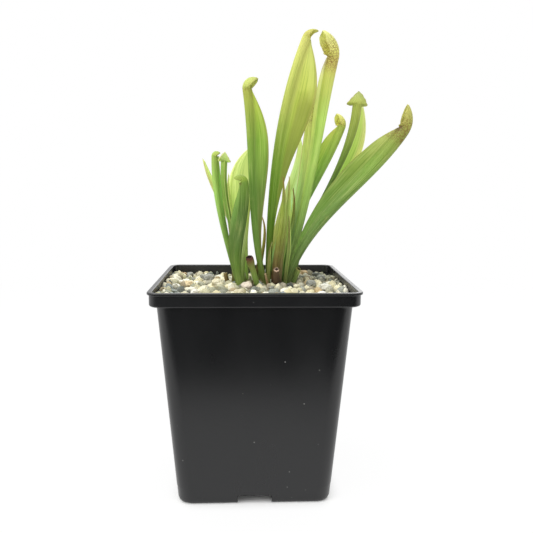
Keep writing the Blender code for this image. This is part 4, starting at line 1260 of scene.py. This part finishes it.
def make_stage():
    size, level = 6.0, -0.0002
    floor = level_panel("studio_floor", (-size, -size), (size, size), level)
    look = Finish("studio_floor_finish", Roughness=0.9)
    place = look.place()
    look.use(Base_Color=look.blend(look.noise(place, 3.0, 2.0), srgb("F4F4F2"), srgb("F8F8F7")))
    tree = look.tree
    seen = seen_directly(tree)
    glow = tree.nodes.new("ShaderNodeEmission")
    glow.inputs["Strength"].default_value = 1.0
    mix = tree.nodes.new("ShaderNodeMixShader")
    split = {"Vector": place}
    across = (look.node("ShaderNodeSeparateXYZ", sockets=split, out="X") - POT_AXIS.x).maths("ABSOLUTE")
    deep = look.node("ShaderNodeSeparateXYZ", sockets=split, out="Y").maths("ABSOLUTE")
    away = across.maths("MAXIMUM", deep)
    share = look.step(away, 0.033, 0.046, 0.0, 0.94) + look.step(away, 0.12, 0.6, 0.0, 0.06)
    join(tree, mix.inputs[0], seen * share)
    tree.links.new(look.shader.outputs[0], mix.inputs[1])
    tree.links.new(glow.outputs[0], mix.inputs[2])
    tree.links.new(mix.outputs[0], tree.nodes["Material Output"].inputs["Surface"])
    floor.data.materials.append(look.material)

    # A dark card seen only in reflections, hidden from the camera, from diffuse light and from shadows: it
    # puts a painted dark reflection on the upper front of the pot.
    near_edge, far_edge, half_wide, card_level = -0.155, -1.6, 1.2, 0.001
    card = level_panel("dark_card", (-half_wide, far_edge), (half_wide, near_edge), card_level)
    dull = Finish("dark_card_finish", Roughness=1.0)
    weave = dull.noise(dull.place(), 40.0)
    card.data.materials.append(dull.use(Base_Color=dull.blend(weave, srgb("101010"), srgb("181818"))))
    card.visible_camera = False
    card.visible_diffuse = False
    card.visible_shadow = False
    card.visible_transmission = False


def make_light():
    world = bpy.data.worlds.new("studio")
    bpy.context.scene.world = world
    world.use_nodes = True
    tree = world.node_tree
    back = tree.nodes["Background"]
    back.inputs["Color"].default_value = (1, 1, 1, 1)
    seen = seen_directly(tree)
    fill = 0.95
    join(tree, back.inputs["Strength"], seen * (1 - fill) + fill)
    lamps = (
        ("soft_top", (POT_AXIS.x - 0.15, -0.15, 0.95), 0.9, 4.8),
        ("soft_left", (POT_AXIS.x - 0.85, -0.55, 0.55), 0.7, 3.4),
        ("soft_back", (POT_AXIS.x + 0.25, 0.85, 0.65), 0.8, 3.0),
    )
    target = POT_AXIS + Vector((0, 0, 0.12))
    for name, place, size, power in lamps:
        data = bpy.data.lights.new(name, "AREA")
        data.shape = "DISK"
        data.size = size
        data.energy = power
        lamp = linked(name, data)
        lamp.location = place
        lamp.rotation_euler = (target - Vector(place)).to_track_quat("-Z", "Y").to_euler()


def make_camera():
    """A 39 mm lens a little above the rim, turned and tipped towards the pot."""
    yaw, pitch, roll = (math.radians(angle) for angle in (2.532, 7.778, 0.354))
    ahead = Vector((math.sin(yaw) * math.cos(pitch), math.cos(yaw) * math.cos(pitch), -math.sin(pitch)))
    level = Vector((math.cos(yaw), -math.sin(yaw), 0))
    above = level.cross(ahead)
    right = level * math.cos(roll) + above * math.sin(roll)
    up = above * math.cos(roll) - level * math.sin(roll)
    data = bpy.data.cameras.new("camera")
    data.lens = 39.22
    data.sensor_width = 36
    camera = linked("camera", data)
    place = Matrix((right, up, -ahead)).transposed().to_4x4()
    place.translation = POT_AXIS + Vector((-6.74, -308.5, 155.9)) * MM
    camera.matrix_world = place
    bpy.context.scene.camera = camera


make_camera()
make_light()
make_stage()
make_pot()
dress("potting_mix", peat())
dress("rhizome", rhizome_bark())
make_gravel()
make_stones()
make_leaves()

bpy.context.scene.view_settings.view_transform = "Standard"
